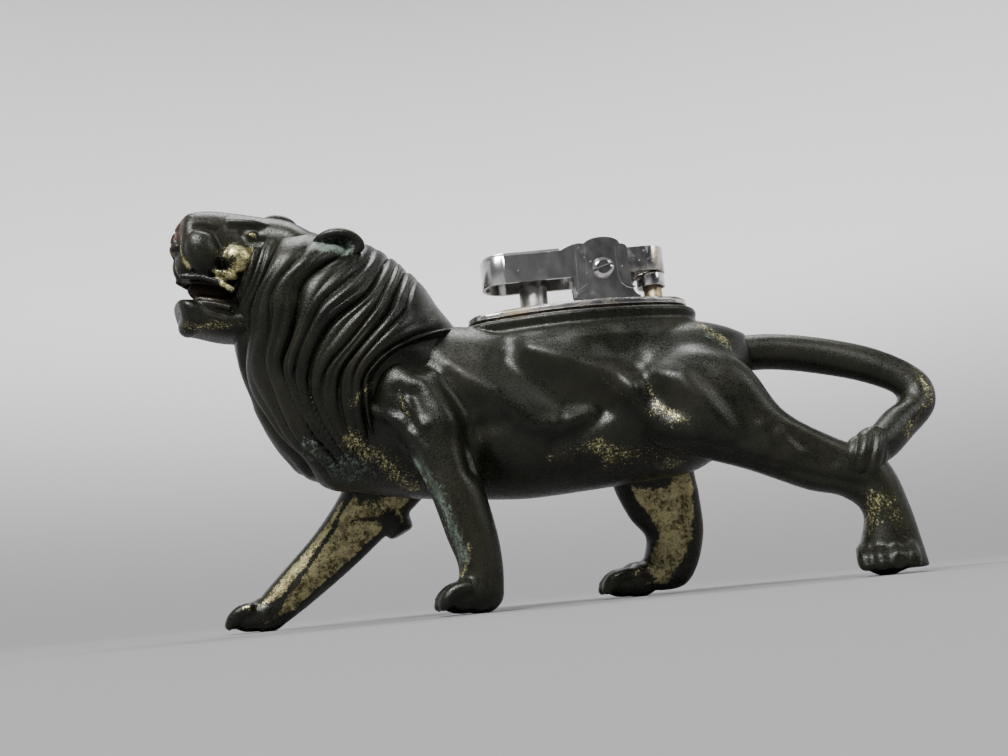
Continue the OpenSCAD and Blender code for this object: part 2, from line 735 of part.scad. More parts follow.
module cotton_packing() {
  color("#ded8c4")
    difference() {
      translate([0, 0, tank_floor + 3.4])
        linear_extrude(tank_h - 5.4) plate_oval(-tank_inset - tank_wall - slip);
      translate([axle_x, 0, tank_floor]) cylinder(r = flint_tube_r + slip, h = tank_h);
      translate([plunger_x, 0, tank_floor + 3.4 + 5]) cylinder(r = barrel_d / 2 + slip, h = tank_h);
      translate([tube_x, 0, tank_floor]) cylinder(r = wick_r + slip, h = tank_h);
    }
}

// Half outline of an ear, from its foot up to its top, with a flare of one arc and a round crown
function ear_edge() =
  let (foot = -axle_h, w = ear_plate_w / 2, f = ear_foot_w / 2, crown = 3.4, shoulder = ear_top - 1.7) [
    [f, foot],
    [f, foot + base_t],
    for (a = [0:15:75]) [f - (f - w) * sin(a), foot + 3.6 - (3.6 - base_t) * cos(a)],
    [w, foot + 3.8],
    [w - 0.1, shoulder - 0.8],
    for (a = [0:15:90]) [crown + (w - 0.1 - crown) * cos(a), shoulder - 0.8 + 0.9 * sin(a)],
    for (a = [15:15:90]) [crown * cos(a), shoulder + 0.1 + (ear_top - shoulder - 0.1) * sin(a)]
  ];

module ear_outline() {
  edge = ear_edge();
  polygon([for (p = edge) p, for (i = [len(edge) - 2:-1:0]) [-edge[i][0], edge[i][1]]]);
}

// Stands a flat outline, drawn round the axle, upright between two distances along Y
module upright(from, to) {
  translate([axle_x, to, axle_z]) rotate([90, 0, 0]) linear_extrude(to - from) children();
}

module rib_outline(s) {
  polygon([
    for (p = rib_line) [s * (p[0] - rib_w / 2), p[1] - rib_w / 3],
    for (i = [len(rib_line) - 1:-1:0]) [s * (rib_line[i][0] + rib_w / 2), rib_line[i][1] + rib_w / 3]
  ]);
}

module bracket() {
  color("#c4c6c9")
    difference() {
      union() {
        upright(-ear_out, -ear_in) ear_outline();
        upright(ear_in, ear_out) ear_outline();
        for (s = [-1, 1]) {
          upright(-ear_out - rib_h, -ear_out) rib_outline(s);
          upright(ear_out, ear_out + rib_h) rib_outline(s);
        }
        translate([axle_x - ear_foot_w / 2, -ear_out, top_z]) cube([ear_foot_w, 2 * ear_out, base_t]);
      }
      translate([axle_x, -ear_out - 1, axle_z]) rotate([-90, 0, 0]) cylinder(d = axle_d, h = 2 * ear_out + 2);
      translate([axle_x, -ear_out + 0.3, axle_z]) rotate([90, 0, 0]) cylinder(d = head_d + 0.4, h = 2);
      for (s = [-1, 1])
        translate([pin_x, s * (ear_in + bracket_t / 4), pin_z])
          rotate([-90, 0, 0]) cylinder(d = pin_d, h = bracket_t / 2, center = true);
      translate([axle_x, 0, top_z]) cube([wheel_slot_l, wheel_slot_w, 3], center = true);
      at_rivets() translate([0, 0, top_z - 1]) cylinder(r = rivet_r, h = 3);
    }
}

module bracket_rivets() {
  color("#b5b7ba")
    at_rivets() {
      translate([0, 0, plate_z - 0.4]) cylinder(r = rivet_r, h = plate_t + base_t + 0.8);
      translate([0, 0, top_z + base_t]) cylinder(r1 = 1.1, r2 = 0.8, h = 0.45);
      translate([0, 0, plate_z - 0.4]) cylinder(r = 1, h = 0.4);
    }
}

module axle_screw() {
  color("#d2d4d6")
    translate([axle_x, 0, axle_z])
      rotate([90, 0, 0])
        difference() {
          union() {
            translate([0, 0, -ear_out - 1.2]) cylinder(d = axle_d, h = 2 * ear_out + 1.2);
            translate([0, 0, ear_out - 0.3]) cylinder(d = head_d, h = 0.7);
            translate([0, 0, ear_out + 0.4]) cylinder(d1 = head_d, d2 = head_d - 1.1, h = 0.35);
          }
          rotate([0, 0, 15]) translate([-head_d, -0.25, ear_out + 0.35]) cube([2 * head_d, 0.5, 1]);
        }
}

module axle_nut() {
  color("#b9bbbe")
    translate([axle_x, ear_out + 1.3, axle_z])
      rotate([90, 0, 0])
        difference() {
          cylinder(d = 4.4, h = 1.3, $fn = 6);
          translate([0, 0, -1]) cylinder(d = axle_d, h = 4);
        }
}

module wheel_spacer() {
  color("#9c8a55")
    upright(wheel_w / 2 + 0.05, arm_w / 2 - sheet_t - 0.05)
      difference() {
        circle(d = axle_d + 1.4);
        circle(d = axle_d + 2 * run);
      }
}

// Two shouldered studs, one from each ear, that the lever's cheeks swing on
module lever_studs() {
  inner = lever_w / 2 - sheet_t - 0.1;
  reach = ear_in + bracket_t / 2;
  color("#b9bbbe")
    for (s = [-1, 1])
      translate([pin_x, s * (inner + reach) / 2, pin_z])
        rotate([-90, 0, 0]) cylinder(d = pin_d, h = reach - inner, center = true);
}

module plunger_barrel() {
  color("#b4b5b4")
    difference() {
      translate([plunger_x, 0, plate_z - barrel_depth])
        cylinder(d = barrel_d, h = barrel_depth + plate_t + barrel_rise);
      translate([plunger_x, 0, spring_floor]) cylinder(d = plunger_d + 2 * run, h = barrel_depth + 20);
    }
}

module plunger() {
  top = axle_z + lever_top - sheet_t - slip;
  color("#a7a8a6")
    translate([plunger_x, 0, 0]) {
      translate([0, 0, plunger_foot]) cylinder(d = plunger_d, h = top - plunger_foot - 0.6);
      translate([0, 0, top - 0.6]) cylinder(d1 = plunger_d, d2 = plunger_d - 1.6, h = 0.6);
    }
}

// A coil spring on end as one tube, with its ends tucked into flat turns
module coil(x, foot, height, coil_r, turns) {
  steps = 7;
  sides = 5;
  count = turns * steps;
  wire_r = wire_d / 2;
  rings = [
    for (i = [0:count])
      let (
        a = 360 * i / steps,
        rise = wire_r + (height - wire_d) * min(1, max(0, (i - steps / 2) / (count - steps))),
        out = [cos(a), sin(a), 0]
      ) [
        for (k = [0:sides - 1])
          let (b = 360 * k / sides)
          [x, 0, foot + rise] + out * (coil_r + wire_r * cos(b)) - [0, 0, wire_r * sin(b)]
      ]
  ];
  skin(rings);
}

module plunger_spring() {
  free = 0.02;
  height = plunger_foot - spring_floor - 2 * free;
  color("#8d8f92") coil(plunger_x, spring_floor + free, height, plunger_d / 2 - wire_d / 2, 6);
}

module wick_tube() {
  color("#9a7338")
    translate([tube_x, 0, 0])
      difference() {
        union() {
          translate([0, 0, plate_z - 1.8]) cylinder(d = tube_d, h = plate_t + 1.8 + tube_rise);
          translate([0, 0, plate_z - 0.6]) cylinder(d = tube_d + 0.8, h = 0.6);
        }
        translate([0, 0, plate_z - 4]) cylinder(d = tube_d - 2 * tube_wall, h = 20);
      }
}

module wick() {
  color("#cfc7ae")
    translate([tube_x, 0, wick_foot]) cylinder(r = wick_r, h = top_z + tube_rise + wick_over - wick_foot);
}

module flint_tube() {
  top = top_z + 0.05;
  color("#a88a45")
    translate([axle_x, 0, tank_floor])
      difference() {
        cylinder(r = flint_tube_r, h = top - tank_floor);
        translate([0, 0, -1]) cylinder(r = flint_r + run, h = top - tank_floor + 2);
      }
}

module flint() {
  color("#5b5c60") translate([axle_x, 0, flint_foot]) cylinder(r = flint_r, h = flint_l);
}

module flint_follower() {
  color("#b0904c") {
    translate([axle_x, 0, flint_foot - 0.8]) cylinder(r = flint_r, h = 0.8);
    translate([axle_x, 0, flint_foot - follower_h]) cylinder(r = flint_r - wire_d - 0.15, h = follower_h);
  }
}

module flint_spring() {
  foot = tank_floor + flint_screw_in;
  color("#8d8f92") coil(axle_x, foot + 0.02, flint_foot - 0.84 - foot, flint_r - wire_d / 2, 9);
}

// A slotted screw head that hangs under the tank's floor, with its shank up into the tank
module hanging_screw(x, shank_d, shank_h, top, size) {
  difference() {
    union() {
      translate([x, 0, top - head_t]) cylinder(d = size, h = head_t);
      translate([x, 0, top - 0.01]) cylinder(d = shank_d, h = shank_h);
    }
    translate([x - size, -0.4, top - head_t - 0.5]) cube([2 * size, 0.8, 1]);
  }
}

module flint_screw() {
  color("#b9933f") hanging_screw(axle_x, flint_d, flint_screw_in, tank_floor - 0.02, flint_head_d);
}

module filler_screw() {
  color("#b9933f") hanging_screw(filler_x, filler_d, 2.8, tank_floor - filler_seal_t, filler_head_d);
}

module filler_gasket() {
  color("#2e2c28")
    translate([filler_x, 0, tank_floor - filler_seal_t + 0.02])
      difference() {
        cylinder(d = filler_head_d - 0.6, h = filler_seal_t - 0.02);
        translate([0, 0, -1]) cylinder(d = filler_d + 0.3, h = 3);
      }
}

// Plan of a channel's top: straight sides and one round end that lies away from the axle
module channel_top(reach, width, inner_end, s) {
  r = width / 2;
  translate([axle_x, 0])
    intersection() {
      union() {
        translate([s * (reach - r), 0]) circle(r = r);
        translate([s > 0 ? 0 : r - reach, -r]) square([reach - r, width]);
      }
      translate([s > 0 ? inner_end : -reach, -r]) square([reach - inner_end, width]);
    }
}

// The round end wall of such a channel
module end_band(reach, width, s) {
  r = width / 2;
  intersection() {
    translate([axle_x + s * (reach - r), 0])
      difference() {
        circle(r = r);
        circle(r = r - sheet_t);
      }
    translate([axle_x + s * (reach - r) + (s > 0 ? 0 : -width), -width]) square([width, 2 * width]);
  }
}

// One cheek of the thumb lever, drawn round the axle: a long side, a head behind the ear and a lifting finger
module lever_cheek_outline() {
  back = -(lever_reach - lever_w / 2);
  low = lever_top - lever_h;
  difference() {
    union() {
      polygon([
        [back, low], [-5.5, low], [-5.4, -3.2], [-pin_fore, -pin_drop - 1.2], [1, -pin_drop - 1.2],
        [finger_x - 0.6, -3], [finger_x, -2.4], [finger_x, -1.55], [2, -1.5], [0.6, -2.2], [-1.2, -1.4],
        [-1.8, 1], [-1.6, 4.2], [-2.6, 5.2], [-4, lever_top + 1.1], [-5.4, lever_top + 0.9],
        [-6.6, lever_top + 0.4], [-7.5, lever_top], [back, lever_top]
      ]);
      translate([-pin_fore, -pin_drop]) circle(r = 1.35);
    }
    for (t = [0:0.25:1])
      translate([-pin_fore, -pin_drop]) rotate(-press * t)
        translate([pin_fore, pin_drop]) circle(r = axle_d / 2 + slip);
    translate([-pin_fore, -pin_drop]) circle(r = pin_d / 2 + run);
  }
}

module thumb_lever() {
  top = axle_z + lever_top;
  outer = lever_w / 2;
  color("#c9ccd0") {
    translate([0, 0, top - sheet_t]) linear_extrude(sheet_t) channel_top(lever_reach, lever_w, web_start, -1);
    translate([0, 0, top - lever_h]) linear_extrude(lever_h) end_band(lever_reach, lever_w, -1);
    upright(-outer, sheet_t - outer) lever_cheek_outline();
    upright(outer - sheet_t, outer) lever_cheek_outline();
  }
}

module thumb_pad() {
  top = axle_z + lever_top;
  margin = 0.4;
  r = lever_w / 2 - margin;
  color("#d5d7da")
    translate([axle_x - lever_reach + margin + r, 0, top])
      linear_extrude(pad_t) {
        circle(r = r);
        translate([0, -r]) square([pad_l - r, 2 * r]);
      }
}

// One cheek of the snuffer arm, drawn round the axle
module arm_cheek_outline() {
  front = arm_reach - arm_w / 2;
  low = arm_top - arm_h;
  difference() {
    union() {
      circle(d = axle_d + 2.2);
      polygon([
        [-1.4, 1.6], [0.4, 2.2], [3.4, arm_top], [front, arm_top], [front, low], [1.2, low - 0.3], [-1, -1.8]
      ]);
    }
    circle(r = axle_d / 2 + run);
  }
}

module snuffer_arm() {
  outer = arm_w / 2;
  stud_out = lever_w / 2 - 0.05;
  top = axle_z + arm_top;
  color("#c4c6c9") {
    translate([0, 0, top - sheet_t]) linear_extrude(sheet_t) channel_top(arm_reach, arm_w, web_start, 1);
    translate([0, 0, top - arm_h]) linear_extrude(arm_h) end_band(arm_reach, arm_w, 1);
    upright(-outer, sheet_t - outer) arm_cheek_outline();
    upright(outer - sheet_t, outer) arm_cheek_outline();
    for (s = [-1, 1])
      translate([axle_x, s * (outer + stud_out) / 2, axle_z])
        rotate([90, stud_start, 0])
          translate([stud_orbit, 0, 0]) cylinder(r = stud_r, h = stud_out - outer, center = true);
  }
}

module snuffer_cap() {
  stem_r = 1.3;
  color("#d5d7da")
    translate([axle_x + tube_back - 0.2, 0, axle_z])
      rotate_extrude()
        polygon([
          [0, arm_top - sheet_t], [stem_r, arm_top - sheet_t], [stem_r, -cup_top],
          [cap_d / 2 - 0.3, -cup_top], [cap_d / 2, -cup_top - 0.3], [cap_d / 2, -cap_drop],
          [cap_d / 2 - cap_wall, -cap_drop], [cap_d / 2 - cap_wall, -cup_roof], [0, -cup_roof]
        ]);
}

module snuffer_seal() {
  seal_t = axle_h - tube_rise - cup_roof - wick_over - slip;
  color("#3a3631")
    translate([axle_x + tube_back - 0.2, 0, axle_z - cup_roof - seal_t])
      cylinder(d = cap_d - 2 * cap_wall - 0.1, h = seal_t);
}

// The pawl swings on the inside of the arm's cheek and pushes the ratchet's teeth
module pawl() {
  color("#8f9194")
    upright(-arm_w / 2 + sheet_t, -wheel_w / 2 - 0.1)
      union() {
        translate([6, 1.2]) circle(r = 0.9);
        polygon([[6.4, 2], [4.2, 2.3], [ratchet_r * cos(34) + 0.15, ratchet_r * sin(34) + 0.1],
          [ratchet_r * cos(24) + 0.25, ratchet_r * sin(24)], [5.8, 0.4]]);
      }
}

module spark_wheel() {
  r = wheel_d / 2;
  color("#77797c")
    upright(-wheel_w / 2, wheel_w / 2)
      difference() {
        polygon([
          for (i = [0:wheel_teeth - 1])
            for (k = [0, 1])
              let (a = 360 * (i + 0.5 * k) / wheel_teeth)
              (r - tooth_h * k) * [cos(a), sin(a)]
        ]);
        circle(r = axle_d / 2 + run);
      }
}

module ratchet_wheel() {
  color("#6c6e72")
    upright(-arm_w / 2 + sheet_t + 0.05, -wheel_w / 2)
      difference() {
        polygon([
          for (i = [0:ratchet_teeth - 1])
            for (k = [0, 1])
              let (a = 360 * (i + 0.08 * k) / ratchet_teeth)
              (ratchet_r - 0.55 * k) * [cos(a), sin(a)]
        ]);
        circle(r = axle_d / 2 + run);
      }
}

casting_left();
casting_right();
tail();
seat_gasket();
cover_plate();
tank();
cotton_packing();
bracket();
bracket_rivets();
axle_screw();
axle_nut();
wheel_spacer();
lever_studs();
plunger_barrel();
wick_tube();
wick();
flint_tube();
flint();
flint_follower();
flint_spring();
filler_gasket();
thumb_lever();
thumb_pad();
plunger();
plunger_spring();
snuffer_arm();
snuffer_cap();
snuffer_seal();
pawl();
spark_wheel();
ratchet_wheel();
flint_screw();
filler_screw();
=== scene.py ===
# Novelty table lighter: a cast, roaring lion with a chromed lift-arm insert on its back.
# Shapes are worked out in millimetres, in the frame's own axes, and go into the meshes in metres.
import math
import bmesh
import bpy
import numpy as np
from mathutils import Matrix, Vector


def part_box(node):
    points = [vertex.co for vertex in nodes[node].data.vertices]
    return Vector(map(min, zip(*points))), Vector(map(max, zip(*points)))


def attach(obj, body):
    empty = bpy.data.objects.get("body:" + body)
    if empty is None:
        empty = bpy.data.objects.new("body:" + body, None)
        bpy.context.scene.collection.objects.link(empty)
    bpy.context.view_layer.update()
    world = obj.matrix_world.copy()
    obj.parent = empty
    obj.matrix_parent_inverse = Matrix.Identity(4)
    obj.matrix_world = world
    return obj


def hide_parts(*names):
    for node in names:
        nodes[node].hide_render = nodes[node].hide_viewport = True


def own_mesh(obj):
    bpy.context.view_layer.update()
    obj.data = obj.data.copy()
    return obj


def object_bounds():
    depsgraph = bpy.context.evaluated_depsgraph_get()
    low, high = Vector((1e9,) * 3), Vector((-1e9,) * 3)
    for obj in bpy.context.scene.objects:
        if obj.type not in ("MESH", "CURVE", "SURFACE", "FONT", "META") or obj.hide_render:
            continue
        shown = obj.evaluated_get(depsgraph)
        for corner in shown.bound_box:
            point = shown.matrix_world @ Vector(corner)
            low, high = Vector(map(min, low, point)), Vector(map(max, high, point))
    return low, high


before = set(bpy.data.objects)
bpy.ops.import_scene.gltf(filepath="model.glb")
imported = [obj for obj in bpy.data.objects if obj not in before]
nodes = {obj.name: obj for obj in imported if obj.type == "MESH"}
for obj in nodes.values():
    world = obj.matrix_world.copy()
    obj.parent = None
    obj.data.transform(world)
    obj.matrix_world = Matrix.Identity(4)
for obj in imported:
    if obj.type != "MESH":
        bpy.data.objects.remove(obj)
cadLow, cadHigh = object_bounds()
mm = 0.001


def boxOf(node):
    low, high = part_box(node)
    return np.array(low) / mm, np.array(high) / mm


plateLow, plateHigh = boxOf("cover_plate")
seatZ = boxOf("seat_gasket")[0][2]
plateMid = (plateLow[0] + plateHigh[0]) / 2
plateHalfL = (plateHigh[0] - plateLow[0]) / 2
plateHalfW = (plateHigh[1] - plateLow[1]) / 2


# Surfaces

def smoothRows(rows, steps):
    # Catmull-Rom curve through the rows, with steps new rows in each stretch
    rows = np.array(rows, float)
    count = len(rows)
    t = np.arange((count - 1) * steps + 1) / steps
    i = np.minimum(t.astype(int), count - 2)
    f = (t - i)[:, None]
    a = rows[np.maximum(i - 1, 0)]
    b = rows[i]
    c = rows[i + 1]
    d = rows[np.minimum(i + 2, count - 1)]
    return b + 0.5 * f * ((c - a) + f * ((2 * a - 5 * b + 4 * c - d) + f * (3 * b - a - 3 * c + d)))


def loftRings(rows, steps, sides):
    # A row is x, y, z, half width, height above, depth below, lean, turn and squareness of one ring;
    # a ring is a superellipse in the plane of its leaned up direction and its turned side direction
    fine = smoothRows(rows, steps)
    x, y, z, wide, high, deep, lean, turn, square = fine.T[:, :, None]
    a = np.linspace(0, 2 * np.pi, sides, endpoint=False)[None, :]
    lean = np.radians(lean)
    turn = np.radians(turn)
    across = wide * np.sign(np.cos(a)) * np.abs(np.cos(a)) ** (2 / square)
    along = np.where(np.sin(a) > 0, high, deep) * np.sign(np.sin(a)) * np.abs(np.sin(a)) ** (2 / square)
    return np.stack([
        x - across * np.sin(turn) + along * np.sin(lean) * np.cos(turn),
        y + across * np.cos(turn) + along * np.sin(lean) * np.sin(turn),
        z + along * np.cos(lean)], -1)


def tubeRings(path, radii, sides):
    # Circles of the given radii carried along a smooth path of points, square to it
    path = np.array(path, float)
    radii = np.broadcast_to(np.array(radii, float), (len(path),))
    heading = np.gradient(path, axis=0)
    heading /= np.linalg.norm(heading, axis=1)[:, None]
    helper = np.where(np.abs(heading[:, 2:3]) > 0.9, [[1.0, 0, 0]], [[0, 0, 1.0]])
    one = np.cross(heading, helper)
    one /= np.linalg.norm(one, axis=1)[:, None]
    two = np.cross(heading, one)
    a = np.linspace(0, 2 * np.pi, sides, endpoint=False)[None, :, None]
    return path[:, None] + radii[:, None, None] * (one[:, None] * np.cos(a) + two[:, None] * np.sin(a))


def blobRings(centre, radii, turn, tilt=0):
    # An ellipsoid whose long axis is turned about Z and tilted up; latitude circles run along that axis
    rings = 14
    sides = 20
    pole = 0.02
    t = np.radians(turn)
    e = np.radians(tilt)
    forward = np.array([math.cos(t) * math.cos(e), math.sin(t) * math.cos(e), math.sin(e)])
    side = np.array([-math.sin(t), math.cos(t), 0])
    up = np.cross(forward, side)
    v = np.linspace(pole, np.pi - pole, rings)[:, None, None]
    a = np.linspace(0, 2 * np.pi, sides, endpoint=False)[None, :, None]
    return (np.array(centre, float) + radii[0] * np.cos(v) * forward
            + np.sin(v) * (radii[1] * np.cos(a) * side + radii[2] * np.sin(a) * up))


def skinOf(rings):
    # A closed skin over rings of equally many points, with a fan to the middle of each end ring
    count, sides = rings.shape[:2]
    verts = np.concatenate([rings.reshape(-1, 3), rings[:1].mean(1), rings[-1:].mean(1)])
    i = np.arange(count - 1)[:, None] * sides
    k = np.arange(sides)[None, :]
    n = (k + 1) % sides
    quads = np.stack([i + k, i + n, i + sides + n, i + sides + k], -1).reshape(-1, 4)
    k = np.arange(sides)
    n = (k + 1) % sides
    first = np.stack([np.full(sides, count * sides), n, k], -1)
    last = np.stack([np.full(sides, count * sides + 1), (count - 1) * sides + k, (count - 1) * sides + n], -1)
    return verts, quads.tolist() + first.tolist() + last.tolist()


def meshOf(name, skins):
    # One mesh of several closed skins, in metres
    verts, faces, start = [], [], 0
    for points, polygons in skins:
        verts.append(points)
        faces += [[v + start for v in p] for p in polygons]
        start += len(points)
    mesh = bpy.data.meshes.new(name)
    mesh.from_pydata((np.concatenate(verts) * mm).tolist(), [], faces)
    mesh.update()
    bm = bmesh.new()
    bm.from_mesh(mesh)
    bmesh.ops.recalc_face_normals(bm, faces=bm.faces)
    bm.to_mesh(mesh)
    bm.free()
    return mesh


def objectOf(name, mesh):
    obj = bpy.data.objects.new(name, mesh)
    bpy.context.scene.collection.objects.link(obj)
    return obj


def bake(obj, name):
    # The mesh that the object's modifiers give; the object goes
    view = bpy.context.evaluated_depsgraph_get()
    mesh = bpy.data.meshes.new_from_object(obj.evaluated_get(view))
    mesh.name = name
    bpy.data.objects.remove(obj)
    return mesh


def fused(name, skins, voxel, soften):
    # One skin round all the overlapping ones, with its inner corners softened
    obj = objectOf(name, meshOf(name, skins))
    remesh = obj.modifiers.new("Fuse", "REMESH")
    remesh.mode = "VOXEL"
    remesh.voxel_size = voxel * mm
    remesh.adaptivity = 0
    soft = obj.modifiers.new("Soften", "SMOOTH")
    soft.factor = 0.5
    soft.iterations = soften
    return bake(obj, name)


def pointsOf(mesh):
    flat = np.empty(len(mesh.vertices) * 3, np.float32)
    mesh.vertices.foreach_get("co", flat)
    return flat.reshape(-1, 3).astype(float) / mm


def normalsOf(mesh):
    flat = np.empty(len(mesh.vertices) * 3, np.float32)
    mesh.vertices.foreach_get("normal", flat)
    return flat.reshape(-1, 3).astype(float)


def setPoints(mesh, points):
    mesh.vertices.foreach_set("co", (points * mm).astype(np.float32).ravel())
    mesh.update()


def averager(mesh):
    # A function that gives every point the mean of a value over its neighbours
    ends = np.empty(len(mesh.edges) * 2, np.int32)
    mesh.edges.foreach_get("vertices", ends)
    a, b = ends.reshape(-1, 2).T
    count = len(mesh.vertices)
    number = np.maximum(np.bincount(a, minlength=count) + np.bincount(b, minlength=count), 1)
    return lambda values: (np.bincount(a, values[b], count) + np.bincount(b, values[a], count)) / number


def curvatureOf(mesh):
    # How far each point stands out from the middle of its neighbours, in mm, along its normal
    mean = averager(mesh)
    points = pointsOf(mesh)
    middle = np.stack([mean(axis) for axis in points.T], -1)
    out = ((points - middle) * normalsOf(mesh)).sum(1)
    for _ in range(3):  # spread over the neighbours
        out = 0.5 * out + 0.5 * mean(out)
    return out


def eased(mesh, weight, times):
    # Each point goes half way to the middle of its neighbours, over and over, where its weight is 1
    mean = averager(mesh)
    points = pointsOf(mesh)
    for _ in range(times):
        middle = np.stack([mean(axis) for axis in points.T], -1)
        points = points + 0.5 * weight[:, None] * (middle - points)
    setPoints(mesh, points)


def paint(mesh, name, values):
    layer = mesh.attributes.get(name) or mesh.attributes.new(name, "FLOAT", "POINT")
    layer.data.foreach_set("value", np.clip(values, 0, 1).astype(np.float32))


def smooth(low, high, value):
    t = np.clip((value - low) / (high - low), 0, 1)
    return t * t * (3 - 2 * t)


def gapTo(points, line):
    # Distance from points to a line of straight stretches, in as many axes as the line has
    line = np.array(line, float)
    places = points[:, [0, 2]] if line.shape[1] == 2 else points
    best = np.full(len(points), 1e9)
    for a, b in zip(line[:-1], line[1:]):
        along = np.clip(((places - a) @ (b - a)) / ((b - a) @ (b - a)), 0, 1)
        best = np.minimum(best, np.linalg.norm(places - a - along[:, None] * (b - a), axis=1))
    return best


def bells(points, features):
    # Sum of soft ridges: height times a bell of the distance to each line; a side keeps to one flank
    total = np.zeros(len(points))
    for side, line, reach, height in features:
        weight = 1 if side == 0 else smooth(2, 6, points[:, 1] * side)
        total += weight * height * np.exp(-(gapTo(points, line) / reach) ** 2)
    return total


def splitHalves(mesh, name):
    # Cuts a closed mesh along the casting's parting plane and closes both cuts
    halves = []
    for side, word in ((-1, "left"), (1, "right")):
        bm = bmesh.new()
        bm.from_mesh(mesh)
        cut = bmesh.ops.bisect_plane(
            bm, geom=bm.verts[:] + bm.edges[:] + bm.faces[:], dist=1e-7, plane_co=(0, 0, 0),
            plane_no=(0, -side, 0), clear_outer=True)
        rim = [e for e in cut["geom_cut"] if isinstance(e, bmesh.types.BMEdge)]
        bmesh.ops.triangle_fill(bm, use_beauty=True, use_dissolve=False, edges=rim, normal=(0, -side, 0))
        bmesh.ops.recalc_face_normals(bm, faces=bm.faces)
        half = bpy.data.meshes.new(f"{name}_{word}")
        bm.to_mesh(half)
        bm.free()
        halves.append(half)
    return halves


plate = {"endRadius": 5.5, "sides": 160}


def ovalRing(grow, z):
    # The cover plate's oval of four arcs, grown or drawn in, as one ring at height z
    endR = plate["endRadius"] + grow
    reach = plateHalfL + grow - endR
    halfW = plateHalfW + grow
    sideR = (reach ** 2 + halfW ** 2 - endR ** 2) / (2 * (halfW - endR))
    meet = math.atan2(sideR - halfW, reach)
    quarter = plate["sides"] // 4
    e = np.linspace(0, meet, quarter, endpoint=False)
    s = meet + (np.pi / 2 - meet) * np.arange(quarter) / quarter
    x = np.concatenate([reach + endR * np.cos(e), sideR * np.cos(s)])
    y = np.concatenate([endR * np.sin(e), halfW - sideR + sideR * np.sin(s)])
    top = np.stack([x, y], -1)
    left = np.array([[0.0, halfW]])
    mirror = top[1:][::-1] * [-1, 1]
    half = np.concatenate([top, left, mirror])
    flat = np.concatenate([half, half * [-1, -1]])
    return np.column_stack([flat[:, 0] + plateMid, flat[:, 1], np.full(len(flat), z)])


# Lion

# In mm and degrees; flatInner and roundInner are how near the middle a leg's inner face may come, and lid is
# the flat under the plate
lion = {
    "voxel": 0.37,
    "headVoxel": 0.23,
    "trunkWidth": 25,
    "maneWidth": 33,
    "headWidth": 21,
    "muzzleWidth": 11.5,
    "stance": 13.25,
    "shank": 4,
    "flatInner": 9.7,
    "roundInner": 8.6,
    "wellGap": -1.7,
    "wellFloor": 24.4,
    "headTurn": 28,
    "soften": 8,
    "easeTimes": 80,
    "lidReach": 23,
    "lidDrop": 0.02,
}
trunkW = lion["trunkWidth"]
maneW = lion["maneWidth"]
headW = lion["headWidth"]
muzzleW = lion["muzzleWidth"]
shank = lion["shank"]
stance = lion["stance"]

trunkRows = [
    [-48, -1, 40, 0.28 * trunkW, 9, 8, 0, 0, 2],
    [-42, 0, 38, 0.42 * trunkW, 14, 13, 0, 0, 2],
    [-34, 0, 37, 0.5 * trunkW, 17, 14.5, 0, 0, 2.1],
    [-26, 0, 36, 0.52 * trunkW, 18, 15, 0, 0, 2.2],
    [-17, 0, 35.5, 0.5 * trunkW, 16.4, 15.5, 0, 0, 2.2],
    [-7, 0, 35, 0.5 * trunkW, 15.2, 15.8, 0, 0, 2.3],
    [4, 0, 35, 0.47 * trunkW, 14.6, 15.4, 0, 0, 2.3],
    [14, 0, 35.3, 0.48 * trunkW, 14.2, 15, 0, 0, 2.3],
    [24, 0, 36, 0.48 * trunkW, 13, 14.6, 0, 0, 2.2],
    [31, 0, 38, 0.38 * trunkW, 9.6, 12, 0, 0, 2.1],
    [36, 0, 40.5, 0.2 * trunkW, 5, 7, 0, 0, 2],
]
maneRows = [
    [-52, -4, 66, 0.27 * maneW, 8, 9, 40, 12, 2],
    [-47, -2.5, 61.5, 0.4 * maneW, 11.4, 15.4, 40, 6, 2],
    [-41, -1, 55.5, 0.48 * maneW, 15.8, 20.4, 40, 0, 2],
    [-34, 0, 49.5, 0.5 * maneW, 15.6, 23.8, 38, 0, 2.1],
    [-27, 0, 44, 0.46 * maneW, 12.8, 24.8, 36, 0, 2.1],
    [-20, 0, 40, 0.33 * maneW, 9.6, 19, 34, 0, 2.1],
]
nearFrontRows = [
    [-27.4, -7, 48.5, 2.4, 3, 3.4, 90, 0, 2],
    [-26.4, -9.8, 42.5, 4.6, 5.6, 6.8, 90, 0, 2],
    [-23, -11.2, 34, 5.4, 7, 7.4, 90, 0, 2.1],
    [-20.6, -12, 27, 4.8, 5.2, 5.4, 90, 0, 2.1],
    [-18.4, -0.97 * stance, 20.5, 1.02 * shank, 1.12 * shank, 1.2 * shank, 90, 0, 2.1],
    [-16.8, -stance, 13, 0.92 * shank, 1.1 * shank, 1.05 * shank, 90, 0, 2.1],
    [-15.7, -stance, 7.4, 0.9 * shank, 0.94 * shank, 0.92 * shank, 90, 0, 2.1],
    [-16.2, -stance, 3, shank, shank, 1.1 * shank, 90, 0, 2.1],
]
